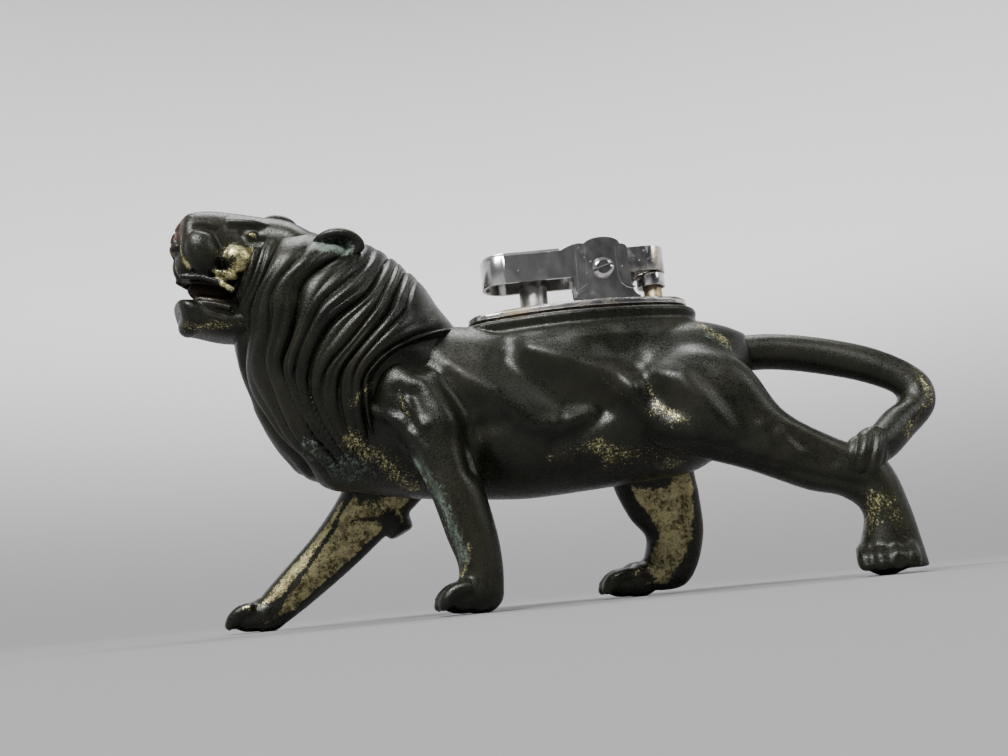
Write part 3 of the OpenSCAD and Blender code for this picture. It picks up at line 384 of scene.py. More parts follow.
nearHindRows = [
    [13, -6, 38, 3, 4, 7, 20, 0, 2],
    [20, -9.4, 36.2, 5.2, 7, 11.4, 28, 0, 2.1],
    [28, -10.6, 32, 5.4, 8, 11, 36, 0, 2.3],
    [36, -11, 26, 4.8, 3.8, 8, 38, 0, 2.5],
    [44, -11.6, 20.4, 4.4, 3.8, 6.2, 36, 0, 2.5],
    [49.5, -12.4, 16.8, 4.1, 4.8, 4.8, 48, 0, 2.3],
    [52.6, -0.98 * stance, 11, 0.95 * shank, 0.95 * shank, 0.95 * shank, 84, 0, 2.1],
    [52.6, -stance, 4.6, shank, 4.9, 5.2, 90, 0, 2.2],
    [53.2, -stance, 0.8, 1.05 * shank, 4.8, 5.2, 90, 0, 2.4],
]
farFrontRows = [
    [-24, 9.5, 44, 3, 5, 5, 100, 0, 2],
    [-26, 10.5, 38, 5, 9, 8.2, 104, 0, 2],
    [-32, 11.4, 29, 5, 9, 7.6, 118, 0, 2.1],
    [-38, 12.2, 21.5, 4.4, 7, 5.2, 130, 0, 2.1],
    [-44.5, stance, 14.6, 0.95 * shank, 5.6, 4.3, 134, 0, 2.1],
    [-51, stance, 8.2, 0.9 * shank, 4.2, 4.2, 136, 0, 2.1],
    [-56.5, stance, 4, 0.9 * shank, 3.6, 3.4, 150, 0, 2.1],
]
farHindRows = [
    [22, 9.5, 42, 3, 7, 7, 84, 0, 2],
    [20, 10.6, 34, 5, 11, 10, 84, 0, 2],
    [17.6, 11.4, 24, 4.8, 8.4, 8.2, 80, 0, 2.1],
    [19, 12.3, 16.5, 0.98 * shank, 7.2, 7, 78, 0, 2.1],
    [20.4, stance, 10.5, 0.94 * shank, 5.6, 5.4, 96, 0, 2.1],
    [18, stance, 5, 0.9 * shank, 5.2, 4.4, 128, 0, 2.1],
    [14.4, stance, 3, 0.9 * shank, 3, 3, 140, 0, 2.1],
]
upperFaceRows = [
    [-64.8, -12.2, 68.4, 0.18 * muzzleW, 3.4, 4.2, 8, 28, 2.4],
    [-63.7, -11.8, 68.7, 0.38 * muzzleW, 5.5, 6.4, 6, 28, 2.4],
    [-60.4, -10, 69, 0.46 * muzzleW, 6.1, 7.4, 4, 28, 2.3],
    [-56.5, -7.8, 68.8, 0.52 * muzzleW, 6.2, 8.6, 0, 28, 2.3],
    [-52, -5.6, 68.2, 0.36 * headW, 6.2, 10, 0, 26, 2.2],
    [-46.5, -3.4, 67.2, 0.46 * headW, 6.2, 10, 0, 20, 2],
    [-40, -1.5, 65, 0.42 * headW, 5, 9, 0, 10, 2],
]
jawRows = [
    [-64.9, -12.3, 56.4, 0.22 * muzzleW, 1.6, 2.2, -12, 28, 2.6],
    [-63.9, -11.7, 56, 0.37 * muzzleW, 2.4, 3.4, -10, 28, 2.8],
    [-61, -10.2, 55.2, 0.43 * muzzleW, 2, 3.2, 0, 28, 2.8],
    [-57, -8.2, 54.2, 0.46 * muzzleW, 1.8, 3, 6, 27, 2.6],
    [-50, -5, 54.8, 0.32 * headW, 3.4, 4, 10, 22, 2.1],
]
tongueRows = [
    [-62.2, -10.9, 58.6, 0.18 * muzzleW, 0.6, 1.8, -8, 28, 2.2],
    [-60.4, -10.1, 58, 0.27 * muzzleW, 1.1, 2.4, 0, 28, 2.2],
    [-57.4, -8.6, 57.6, 0.33 * muzzleW, 1.6, 3, 0, 28, 2.2],
    [-53, -6.4, 58.4, 0.42 * muzzleW, 4, 4, 0, 26, 2],
]
tailRows = [
    [33, 0, 41.9, 3.6, 3.3, 3.3, 0, 0, 2],
    [40, -0.6, 41.7, 3.3, 3.3, 3.3, 2, 0, 2],
    [48, -2.2, 39.9, 3.15, 3.3, 3.3, 14, 8, 2],
    [56.4, -4.6, 36.7, 3.15, 3.3, 3.3, 34, 14, 2],
    [62.1, -6.6, 32.6, 3.15, 3.3, 3.3, 62, 20, 2],
    [62.3, -7.8, 28.6, 3.15, 3.3, 3.3, 104, 24, 2],
    [57.9, -9.8, 25, 3.15, 3.15, 3.15, 136, 24, 2],
    [54.2, -12, 22, 3, 3, 3, 140, 24, 2],
    [52, -13.4, 20.2, 2.3, 2.3, 2.3, 144, 24, 2],
    [50.6, -14.2, 19, 1.2, 1.2, 1.2, 146, 24, 2],
]
tuftRows = [
    [52, -14.2, 24.6, 0.9, 1, 1, 88, 0, 2],
    [51.2, -14.4, 23, 2, 3, 3, 90, 0, 2],
    [50.2, -14.8, 20.2, 2.6, 3.6, 3.6, 92, 0, 2],
    [49.8, -14.8, 17.6, 2.3, 3, 3, 90, 0, 2],
    [50, -14.7, 15.2, 0.9, 1.1, 1.1, 88, 0, 2],
]

# Soft ridges and folds: flank (-1 near, 1 far, 0 both), line, reach and height, negative for a hollow
trunkFolds = [
    (0, [(-18.5, 42), (-15, 39.5), (-11, 37), (-7, 32.5)], 2.4, 0.9),
    (0, [(-8, 43), (-3, 38.5), (1.5, 34.5), (7.5, 33.5)], 2.9, -1.2),
    (0, [(-3.6, 43.4), (5, 40.2), (11, 37.8), (13, 35)], 2.7, 1.5),
    (-1, [(-4.5, 30.3), (-2, 30.6)], 1.4, 0.6),
    (-1, [(2, 31), (5.5, 31.6)], 1.5, 0.45),
    (-1, [(-1.5, 27), (3.5, 28.5), (8, 32)], 1.4, -0.7),
    (-1, [(-14.5, 31), (-9.5, 31.6)], 1.5, -0.5),
    (0, [(10, 44), (12.5, 40)], 2.8, -0.8),
]
legFolds = [
    (-1, [(-27, 38), (-27, 34.5), (-25.5, 32)], 1.3, -0.7),
    (-1, [(-24.5, 37), (-24, 33.5)], 1.5, -0.7),
    (-1, [(-25.5, 36), (-23, 31.5)], 1.0, 0.5),
    (-1, [(-21, 40), (-19, 37), (-18, 32.5)], 2.6, 0.8),
    (-1, [(-33, 36), (-27, 33), (-23.2, 27.5), (-21.1, 22.3), (-19.1, 16.3), (-17.6, 8.7)], 1.0, 0.6),
    (-1, [(-31.5, 31.5), (-26.6, 27), (-24, 22), (-22, 16), (-20.4, 9)], 1.3, -0.6),
    (-1, [(38, 24), (44, 19.5)], 1.5, -0.4),
    (-1, [(33.2, 26), (34.3, 22.1), (35.1, 20.4)], 1.2, 0.45),
    (-1, [(5, 22.1), (12.9, 24.5), (23.1, 24), (32.8, 20), (42.4, 16.6), (48.9, 14.6)], 0.9, -0.4),
    (1, [(-39, 24.5), (-43.5, 17), (-49.3, 10.6), (-54.9, 4.6)], 0.9, -0.4),
]
commonFolds = [
    (0, [(-24, 44.5), (-19.5, 40), (-16, 34), (-15, 29), (-14.5, 24.5)], 2.2, -1.2),
    (0, [(16.7, 37.7), (20.9, 35.5), (23.9, 31.9), (27.6, 25.8)], 2.4, 1.0),
    (-1, [(13, 35), (14.4, 32), (18, 28.6), (22.4, 26.3)], 2.4, 0.9),
    (-1, [(15, 38.4), (15.6, 34.6), (18.2, 30.4)], 2, -0.7),
    (-1, [(25, 35.5), (29, 30.4), (30.4, 25.6)], 2.6, -0.5),
    (-1, [(36.2, 24.6), (38.6, 21.3)], 1.1, 0.4),
]

# Where brass shows through the dark finish, where it stays dark, and where verdigris sits
brassPlaces = [
    (-1, [(-31, 40.5), (-35, 36.5)], 1.2, 0.5),
    (-1, [(-27, 38), (-25.5, 33)], 0.9, 0.52),
    (-1, [(-36, 31), (-31, 27), (-25, 21)], 3.2, 0.56),
    (-1, [(-2.6, 24.9), (2, 25.8), (6.6, 27.1)], 1.9, 0.42),
    (-1, [(8, 24), (14, 24.5), (19, 22)], 3.2, 0.5),
    (-1, [(15.5, 36), (17, 32), (21, 28.6)], 1.1, 0.5),
    (-1, [(8, 37), (14, 32), (19, 28)], 1.6, 0.36),
    (0, [(27, 46.5), (31, 42.5)], 1.7, 0.62),
    (-1, [(49.3, 13.5), (49.6, 9), (47.5, 6.5)], 1.7, 0.5),
    (-1, [(52.5, 12.5), (54, 7)], 2.2, 0.46),
    (-1, [(-19, 6.4), (-17.6, 8.4), (-17.2, 11)], 0.9, 0.6),
    (1, [(-39, 22.5), (-42.5, 16), (-48, 9.5), (-52.5, 4)], 1.3, 0.8),
]
darkPlaces = [
    (1, [(26, 17), (24.5, 8), (20, 2)], 2.2, 0.9),
    (1, [(11, 21.4), (13.5, 16.2), (16.3, 11.1)], 1.5, 1.0),
    (1, [(7, 3), (13, 3.5)], 3.2, 0.8),
    (1, [(-65, 2.5), (-57, 3.5)], 2.6, 0.9),
    (1, [(-33, 18.5), (-29.5, 15)], 2.4, 0.9),
    (1, [(-40, 23.6), (-43.7, 17.7), (-49.3, 10.6), (-54.9, 4.6)], 0.8, 0.8),
]
greenPlaces = [
    (-1, [(-25, 26), (-21.5, 20), (-19.5, 14), (-18, 9)], 1.7, 0.75),
    (-1, [(-44, 31), (-38, 25)], 3, 0.6),
    (-1, [(-36, 28), (-30, 24)], 2.5, 0.5),
    (-1, [(-38.5, 65.4), (-34.5, 65)], 2.2, 0.9),
    (-1, [(-14.5, 30), (-13, 22)], 2, 0.45),
    (0, [(27.5, 44.5), (31, 41.5)], 1.4, 0.6),
]


paw = {"length": 12.5, "width": 9.5, "height": 6.4, "toeSides": 14}


def pawSkins(x, y, heading):
    # A pad, a foot and four toes, as blobs along the paw's heading
    t = math.radians(heading)
    forward = np.array([math.cos(t), math.sin(t), 0])
    side = np.array([-math.sin(t), math.cos(t), 0])
    long = paw["length"]
    wide = paw["width"]
    high = paw["height"]
    base = np.array([x, y, 0])
    pad = base - 0.1 * long * forward + [0, 0, 0.5 * high]
    foot = base + 0.14 * long * forward + [0, 0, 0.36 * high]
    skins = [
        skinOf(blobRings(pad, (0.42 * wide, 0.42 * wide, 0.36 * wide), heading)),
        skinOf(blobRings(foot, (0.4 * wide, 0.44 * wide, 0.34 * high), heading)),
    ]
    for toe in (-1.5, -0.5, 0.5, 1.5):
        place = base + 0.25 * toe * wide * side - 0.03 * toe * toe * long * forward
        path = smoothRows([
            place + 0.08 * long * forward + [0, 0, 0.7 * high],
            place + 0.28 * long * forward + [0, 0, 0.62 * high],
            place + 0.42 * long * forward + [0, 0, 0.34 * high],
            place + 0.4 * long * forward + [0, 0, 0.2 * high]], 5)
        along = np.linspace(0, 1, len(path))
        radii = 0.152 * wide * np.interp(along, [0, 0.5, 0.8, 1], [0.8, 1.06, 1.02, 0.7])
        skins.append(skinOf(tubeRings(path, radii, paw["toeSides"])))
    return skins


ear = {"wide": 0.5, "high": 0.28, "taper": 0.25, "thick": 0.2, "cup": 0.34, "cupWide": 0.34, "cupHigh": 0.16}


def earSkin(centre, turn, tip, size):
    # A cupped leaf in shares of its size: an outer cap and a hollow inner face meet at a thin rim
    pole = 0.03
    v = np.linspace(pole, np.pi - pole, 26)[:, None]
    a = np.linspace(0, 2 * np.pi, 36, endpoint=False)[None, :]
    x = ear["wide"] * np.sin(v) * np.cos(a)
    y = ear["thick"] * np.cos(v)
    up = ear["high"] * np.sin(v) * np.sin(a) * (1 + ear["taper"] * np.sin(v) * np.sin(a))
    hollow = ear["cup"] * np.exp(-((x / ear["cupWide"]) ** 2 + (up / ear["cupHigh"]) ** 2))
    local = np.stack([x, y + np.where(np.cos(v) < 0, hollow, 0), up], -1) * size
    tilt = Matrix.Rotation(math.radians(turn), 3, "Z") @ Matrix.Rotation(math.radians(tip), 3, "X")
    return skinOf(local @ np.array(tilt).T + np.array(centre))


# A paw is x, y and heading; a ring of the boss round the plate is its growth and its height over the seat
pawPlaces = [(-17.4, -stance, 184), (51.6, 0.8 - stance, 258), (-58.8, stance, 176), (11.6, stance, 176)]
elbowPath = [[-35.6, 12.2, 21.6], [-32.6, 12.4, 18.8], [-31, 12.4, 15.8]]
bossRows = [
    (-7, -11), (3.2, -9), (3, -5.4), (2.4, -4), (1.7, -3), (1.15, -2.4), (1.25, -1.8), (1.55, -1.2),
    (1.55, -0.5), (1.1, 0), (-4, 0),
]


def bodySkins():
    # Trunk, four legs, four paws, the elbow of the far fore leg, and the boss round the plate
    skins = [skinOf(loftRings(trunkRows, 10, 72))]
    for rows, wall in ((nearFrontRows, lion["flatInner"]), (nearHindRows, lion["flatInner"]),
                       (farFrontRows, lion["flatInner"]), (farHindRows, lion["roundInner"])):
        skins.append(skinOf(legRings(rows, wall)))
    for place in pawPlaces:
        skins += pawSkins(*place)
    elbow = smoothRows(elbowPath, 6)
    skins.append(skinOf(tubeRings(elbow, np.linspace(4.4, 2.4, len(elbow)), 20)))
    skins.append(skinOf(np.stack([ovalRing(grow, seatZ + rise) for grow, rise in bossRows])))
    return skins


def legRings(rows, wall):
    # The legs were cast in halves, so a leg's inner side is flat below the belly: |y| is at least the wall,
    # which leans from its full place at z 18 to the middle at z 28
    rings = loftRings(rows, 10, 72)
    least = wall * np.clip((28 - rings[..., 2]) / 10, 0, 1)
    side = np.sign(rings[..., 1].mean())
    rings[..., 1] = side * np.maximum(side * rings[..., 1], least)
    return rings


def cutWell(mesh):
    # The tank's well comes out of the body, from the well's floor up past the seat
    rings = np.stack([ovalRing(lion["wellGap"], z) for z in (lion["wellFloor"], 40, seatZ + 4)])
    body = objectOf("body", mesh)
    cutter = objectOf("cutter", meshOf("cutter", [skinOf(rings)]))
    cut = body.modifiers.new("Well", "BOOLEAN")
    cut.operation = "DIFFERENCE"
    cut.solver = "EXACT"
    cut.object = cutter
    out = bake(body, "body")
    bpy.data.objects.remove(cutter)
    return out


def dressBody(mesh):
    # The limbs run softly into the trunk, then the folds go on; the rim under the plate keeps its shape
    points = pointsOf(mesh)
    underSeat = np.maximum(smooth(45.8, 43, points[:, 2]), smooth(-18.5, -20.5, points[:, 0]))
    eased(mesh, smooth(26, 31, points[:, 2]) * underSeat, lion["easeTimes"])
    points = pointsOf(mesh)
    normals = normalsOf(mesh)
    away = np.abs(points[:, 1])
    shape = (bells(points, trunkFolds) * smooth(14.4, 13, away)
             + bells(points, legFolds) * smooth(11.6, 13, away) + bells(points, commonFolds))
    nearSeat = smooth(4.5, 2.4, seatZ - points[:, 2]) * smooth(25, 22, np.abs(points[:, 0] - plateMid))
    shape = shape * smooth(0.05, 0.45, normals[:, 1] * np.sign(points[:, 1])) * (1 - nearSeat)
    points = points + normals * shape[:, None]
    points[:, 2] = np.clip(points[:, 2], 0, None)
    top = seatZ - lion["lidDrop"]
    lid = (np.abs(points[:, 0] - plateMid) < lion["lidReach"]) & (points[:, 2] > top)
    points[lid, 2] = top
    setPoints(mesh, points)


def paintCasting(mesh, extra=0):
    # Attributes of the finish: worn places and edges, the legs' flat inner faces, grooves and verdigris
    points = pointsOf(mesh)
    normals = normalsOf(mesh)
    away = np.abs(points[:, 1])
    bend = curvatureOf(mesh)
    dark = 1 - np.clip(bells(points, darkPlaces), 0, 1)
    inner = (smooth(0.6, 0.9, -normals[:, 1] * np.sign(points[:, 1])) * smooth(12.4, 10.4, away)
             * smooth(27, 22, points[:, 2]) * smooth(7, 8.4, away))
    paint(mesh, "wear", (bells(points, brassPlaces) + extra + 2.0 * np.clip(bend - 0.02, 0, 0.2)) * dark)
    paint(mesh, "inner", inner * dark)
    paint(mesh, "groove", -bend * 9)
    paint(mesh, "green", bells(points, greenPlaces))


def bodyPieces():
    mesh = fused("body", bodySkins(), lion["voxel"], lion["soften"])
    dressBody(mesh)
    mesh = cutWell(mesh)
    paintCasting(mesh)
    return splitHalves(mesh, "lion")


# Mane

mane = {
    "rings": 62,
    "sides": 300,
    "lock": 0.95,
    "sweep": 1.05,
    "strand": 0.3,
    "crestEase": 0.7,
    "rearDrop": 1.4,
    "lift": 0.35,
    "loose": 3.2,
}
# Lines that the hair follows on the flank, from the crest down to the chest
hairLines = [
    [(-43, 74), (-45, 68.5), (-47.5, 63), (-49.5, 59), (-52.5, 55),
     (-54, 52.5), (-55, 47), (-53.5, 41), (-49.5, 34), (-44.5, 29)],
    [(-39, 74), (-40.5, 68), (-42, 62), (-46.5, 58), (-48, 54),
     (-50.5, 46), (-49.5, 39), (-46, 33), (-41, 27.5)],
    [(-34, 74), (-35.5, 64), (-42, 58), (-43, 53.5), (-44.5, 48.5),
     (-47.5, 44.5), (-46, 38.5), (-43, 33), (-39, 28)],
    [(-30.5, 74), (-32, 61.5), (-39, 55), (-41, 50), (-43.5, 46),
     (-45.3, 42.5), (-44.5, 38), (-42, 32.5), (-38.3, 27.5)],
    [(-28.5, 74), (-29, 63), (-32.5, 55.5), (-38, 51), (-42, 45.5),
     (-43, 40.5), (-41.8, 35), (-39.8, 30.5), (-37.4, 26.5)],
    [(-27, 74), (-28, 61), (-30.7, 53.5), (-36, 47.5), (-40, 43.5),
     (-41, 38), (-39.6, 33), (-37, 28)],
    [(-25.5, 74), (-26.8, 58), (-28.5, 52.5), (-34, 47), (-38, 42.5),
     (-39, 37.5), (-38, 32.5), (-36.2, 28.5)],
    [(-24, 74), (-25.6, 57), (-26.5, 51.5), (-31, 47.5), (-36, 42.5),
     (-37.2, 38), (-36.7, 33), (-35.5, 29)],
    [(-20, 74), (-19, 57), (-16.5, 52), (-20, 49.4), (-30, 45.2),
     (-35.2, 40.8), (-35.5, 34.5), (-34.5, 29)],
]


def hairPhase(points):
    # Which hair line a point lies on, in lines and shares of one, and how far apart the lines are there
    levels = np.linspace(24, 84, 241)
    bell = np.exp(-np.linspace(-2.2, 2.2, 31) ** 2)
    bell /= bell.sum()
    table = []
    for line in hairLines:
        x, height = np.array(line[::-1]).T
        along = np.interp(levels, height, x)
        table.append(np.convolve(np.pad(along, 15, mode="edge"), bell, mode="valid"))
    table = np.maximum.accumulate(np.array(table) + np.arange(len(table))[:, None] * 0.25, axis=0)
    at = [np.interp(points[:, 2], levels, row) for row in table]
    loose = mane["loose"]
    phase = np.minimum(points[:, 0] - at[0], 0) / loose
    apart = np.where((points[:, 0] < at[0]) | (points[:, 0] > at[-1]), loose, 0.0)
    for a, b in zip(at[:-1], at[1:]):
        phase = phase + np.clip((points[:, 0] - a) / np.maximum(b - a, 0.3), 0, 1)
        apart = np.where((points[:, 0] >= a) & (points[:, 0] <= b), b - a, apart)
    return phase + np.maximum(points[:, 0] - at[-1], 0) / loose, apart


def lockShape(share):
    # A rounded lock that leans on its neighbour: half an ellipse, steeper on one side
    return np.sqrt(np.clip(1 - (2 * share ** 0.8 - 1) ** 2, 0, 1)) - 0.7


def hairRelief(points):
    # Broad sweeps of two hair lines each, a lock on every line, and two strands in a lock
    phase, apart = hairPhase(points)
    height = points[:, 2]
    phase = phase + 0.16 * np.sin(0.21 * height + 1.3 * phase) + 0.07 * np.sin(0.47 * height - 0.9 * phase)
    sweep = lockShape(np.mod(phase / 2, 1)) + 0.3 * np.sin(2.4 * np.floor(phase / 2) + 0.12 * height)
    lock = lockShape(np.mod(phase, 1))
    strand = np.abs(np.sin(2 * np.pi * phase + 0.6 * np.sin(0.3 * height))) - 0.6
    strand = strand * (0.7 + 0.5 * np.sin(0.35 * height + 2 * phase))
    relief = mane["sweep"] * sweep + mane["lock"] * lock + mane["strand"] * strand
    relief = relief * (1 - 0.8 * smooth(45, 51, height) * smooth(6.4, 8, phase))
    return relief * np.clip(apart / 2.4, 0.25, 1.1), smooth(8.0, 8.6, phase)


def manePieces():
    # The hair is lower on the crest, and at the rear the mane sinks into the back
    rings = loftRings(maneRows, mane["rings"], mane["sides"])
    mesh = meshOf("mane", [skinOf(rings)])
    points = pointsOf(mesh)
    normals = normalsOf(mesh)
    relief, rear = hairRelief(points)
    fade = smooth(0, 4, points[:, 0] - rings[0, :, 0].min()) * smooth(24, 29, points[:, 2])
    crest = smooth(0.35, 0.85, normals[:, 2])
    relief = relief * (1 - mane["crestEase"] * crest)
    drop = mane["rearDrop"] * rear * smooth(53, 46, points[:, 2])
    points = points + normals * ((mane["lift"] + relief) * fade * (1 - rear) - drop)[:, None]
    setPoints(mesh, points)
    paintCasting(mesh)
    return splitHalves(mesh, "mane")


# Head

# Its middle in X and Y, and the shares of X and Y in its own ahead direction
head = {"middle": (-52.0, -5.6), "ahead": 0.883, "aside": 0.469, "soften": 9, "ridgeSides": 16}


def headPoint(ahead, near, height):
    # A place in the head's own axes: how far ahead, how far to the near side, and its height
    return np.array([head["middle"][0] - head["ahead"] * ahead + head["aside"] * near,
                     head["middle"][1] - head["aside"] * ahead - head["ahead"] * near, height])


def headRidge(places, radii):
    path = smoothRows([headPoint(*p) for p in places], 6)
    sizes = np.interp(np.linspace(0, 1, len(path)), np.linspace(0, 1, len(radii)), radii)
    return skinOf(tubeRings(path, sizes, head["ridgeSides"]))


def headBlob(place, radii, tilt=0):
    return skinOf(blobRings(headPoint(*place), radii, 180 + lion["headTurn"], tilt))


def headSkins():
    # Nose, bridge, whisker pads, lips, cheeks, brows, eyes, chin and ears, over the lofts of skull and jaw
    skins = [skinOf(loftRings(rows, 8, 60)) for rows in (upperFaceRows, jawRows, tongueRows)]
    skins.append(headRidge([(14.4, 0, 68.6), (13.2, 0, 71.2), (11.2, 0, 72.9), (7, 0, 72.8), (-3, 0, 71)],
                           [1.2, 1.4, 1.6, 2.1, 2.4]))
    skins.append(headBlob((14.5, 0.2, 67.4), (1.05, 2.3, 1.5), -20))
    skins.append(headBlob((12.6, 0, 53.8), (1.9, 3.2, 1.9)))
    skins.append(headBlob((6.6, 0, 60.4), (6.2, 1.6, 2.8)))
    for side in (-1, 1):
        skins.append(headBlob((10.5, 3.9 * side, 66.4), (3.2, 2.7, 4.4), -10))
        skins.append(headRidge([(14.2, 1.5 * side, 62.4), (11, 3.9 * side, 61.7), (8, 5.3 * side, 60.3),
                                (6, 6 * side, 58.8)], [0.5, 0.6, 0.65, 0.7]))
        skins.append(headBlob((4.8, 5.7 * side, 64.9), (2.8, 2, 2.6), 10))
        skins.append(headBlob((7, 5.3 * side, 61.9), (2.3, 1.5, 1.1), 20))
        skins.append(headRidge([(8.6, 2.6 * side, 72.2), (5.4, 4.6 * side, 71.8), (1.4, 6.2 * side, 71.2),
                                (-3.6, 6.6 * side, 70)], [0.6, 1.0, 1.0, 0.6]))
        skins.append(headRidge([(9.6, 2.6 * side, 71.2), (8.4, 3.8 * side, 70.6)], [0.6, 0.7]))
        skins.append(headBlob((2.3, 6.4 * side, 69.2), (1.2, 0.9, 0.9)))
        skins.append(headRidge([(13.4, 2.2 * side, 57.6), (10, 4 * side, 57), (6.4, 5.4 * side, 55.8)],
                               [0.6, 0.7, 0.7]))
    skins.append(earSkin([-36.2, -12.5, 65.4], -4, 14, 10.2))
    skins.append(earSkin([-49.4, 1.2, 74.5], 196, -14, 8.6))
    skins.append(headBlob((-4.6, -4.6, 71.6), (3.2, 2.6, 3.4)))
    return skins


def onFace(line, reach, height):
    # A fold or a worn place given in the head's own axes
    return (0, [headPoint(*place) for place in line], reach, height)


def bothSides(line, reach, height):
    # The same fold on both sides of the face
    return [onFace([(a, side * n, v) for a, n, v in line], reach, height) for side in (-1, 1)]


headFolds = (
    bothSides([(11.6, 5.4, 71), (8.6, 5.2, 70), (7.2, 5.6, 67), (7.8, 6, 63.4)], 0.9, -0.5)
    + bothSides([(6, 5.8, 70.6), (3.6, 6.8, 70.3), (1.6, 7.4, 70)], 1.0, -0.45)
    + bothSides([(4.4, 6.4, 69.2), (3.6, 7, 68.2), (1.2, 7.6, 68)], 0.8, -0.6)
    + bothSides([(6, 6.8, 63.4), (4, 7.2, 62.2), (2.6, 7.6, 60)], 0.6, -0.4)
    + bothSides([(15.2, 1.2, 67.2), (14.6, 2, 67)], 0.55, -0.7)
    + bothSides([(13.4, 2.4, 56.4), (10, 4.4, 55.6), (6, 6, 54.6)], 0.6, -0.4)
    + [onFace([(15.2, 0, 66), (14.2, 0, 62)], 0.5, -0.5)]
)
headWearAndEyeHighlight = [
    onFace([(6.4, 6.6, 66.2), (3.4, 7.4, 65.4), (4.6, 7, 63.6)], 2.1, 1.1),
    onFace([(9, 5.4, 62), (6, 6.6, 61.6)], 1.0, 0.9),
    onFace([(8, 5.8, 60.2), (6.4, 6.4, 59.2)], 0.8, 0.8),
    onFace([(13.6, 2.6, 69.6), (13.8, 3, 66.4), (13, 3.8, 63)], 0.7, 0.95),
    onFace([(15.6, 0.6, 66.6), (14.6, 0.8, 62.6)], 1.2, 0.7),
    # The eye's brass spot is worn brass and a painted highlight on the eye
    onFace([(2.6, 7.2, 69.4), (2.1, 7.4, 69)], 0.9, 1.0),
    onFace([(13.6, 2, 53.2), (9, 4.6, 53), (4, 6.4, 52.6)], 1.8, 0.55),
    onFace([(10, 3.4, 71.6), (9, 3.9, 71.2)], 0.6, 0.7),
]
redPlaces = [
    onFace([(14, 0.6, 70.6), (12, 0.8, 73.6)], 1.8, 0.9),
    onFace([(12, 0, 59.8), (8, 3, 59)], 2.2, 0.3),
]


def headPieces():
    # The fused head with its folds; its own brass, with the eye's painted highlight, goes over the casting's
    # finish, and red in nose and mouth
    mesh = fused("head", headSkins(), lion["headVoxel"], head["soften"])
    points = pointsOf(mesh)
    points = points + normalsOf(mesh) * bells(points, headFolds)[:, None]
    setPoints(mesh, points)
    paintCasting(mesh, bells(points, headWearAndEyeHighlight))
    paint(mesh, "red", bells(points, redPlaces))
    return splitHalves(mesh, "head")


# Tail

tail = {"voxel": 0.26, "soften": 4, "groove": 0.55, "pace": 1.15, "slant": 0.4}
tailBrass = [
    (0, [(63.5, 35), (64, 29), (58, 23)], 2.2, 0.5),
    (0, [(40, 44.8), (52, 42)], 0.9, 0.5),
]


def tailPiece():
    # The tail with its tuft, which has slanting grooves: the sine of a place along X that moves with height
    skins = [skinOf(loftRings(tailRows, 12, 40)), skinOf(loftRings(tuftRows, 8, 30))]
    mesh = fused("tail", skins, tail["voxel"], tail["soften"])
    points = pointsOf(mesh)
    tuft = smooth(24.5, 23, points[:, 2]) * smooth(54.4, 53.4, points[:, 0])
    place = points[:, 0] - 50 - tail["slant"] * (points[:, 2] - 19)
    grooves = np.abs(np.sin(tail["pace"] * place)) - 0.6
    points = points + normalsOf(mesh) * (tail["groove"] * tuft * grooves)[:, None]
    setPoints(mesh, points)
    paintCasting(mesh, bells(points, tailBrass))
    return mesh


# Shader maths: a wrapped socket takes + - * and /, and adds the Math nodes itself

class Field:
    def __init__(self, maker, socket):
        self.maker = maker
        self.socket = socket

    def join(self, operation, one, two):
        return self.maker.node("ShaderNodeMath", {"operation": operation}, {0: one, 1: two})

    def __add__(self, other):
        return self.join("ADD", self, other)

    def __sub__(self, other):
        return self.join("SUBTRACT", self, other)

    def __rsub__(self, other):
        return self.join("SUBTRACT", other, self)

    def __mul__(self, other):
        return self.join("MULTIPLY", self, other)

    def __truediv__(self, other):
        return self.join("DIVIDE", self, other)

    __radd__ = __add__
    __rmul__ = __mul__

    def above(self, low, high):
        # 0 under low, 1 over high, and smooth between
        return self.maker.node("ShaderNodeMapRange", {"interpolation_type": "SMOOTHSTEP"},
                               {"Value": self, "From Min": low, "From Max": high})

    def largest(self, other):
        return self.join("MAXIMUM", self, other)


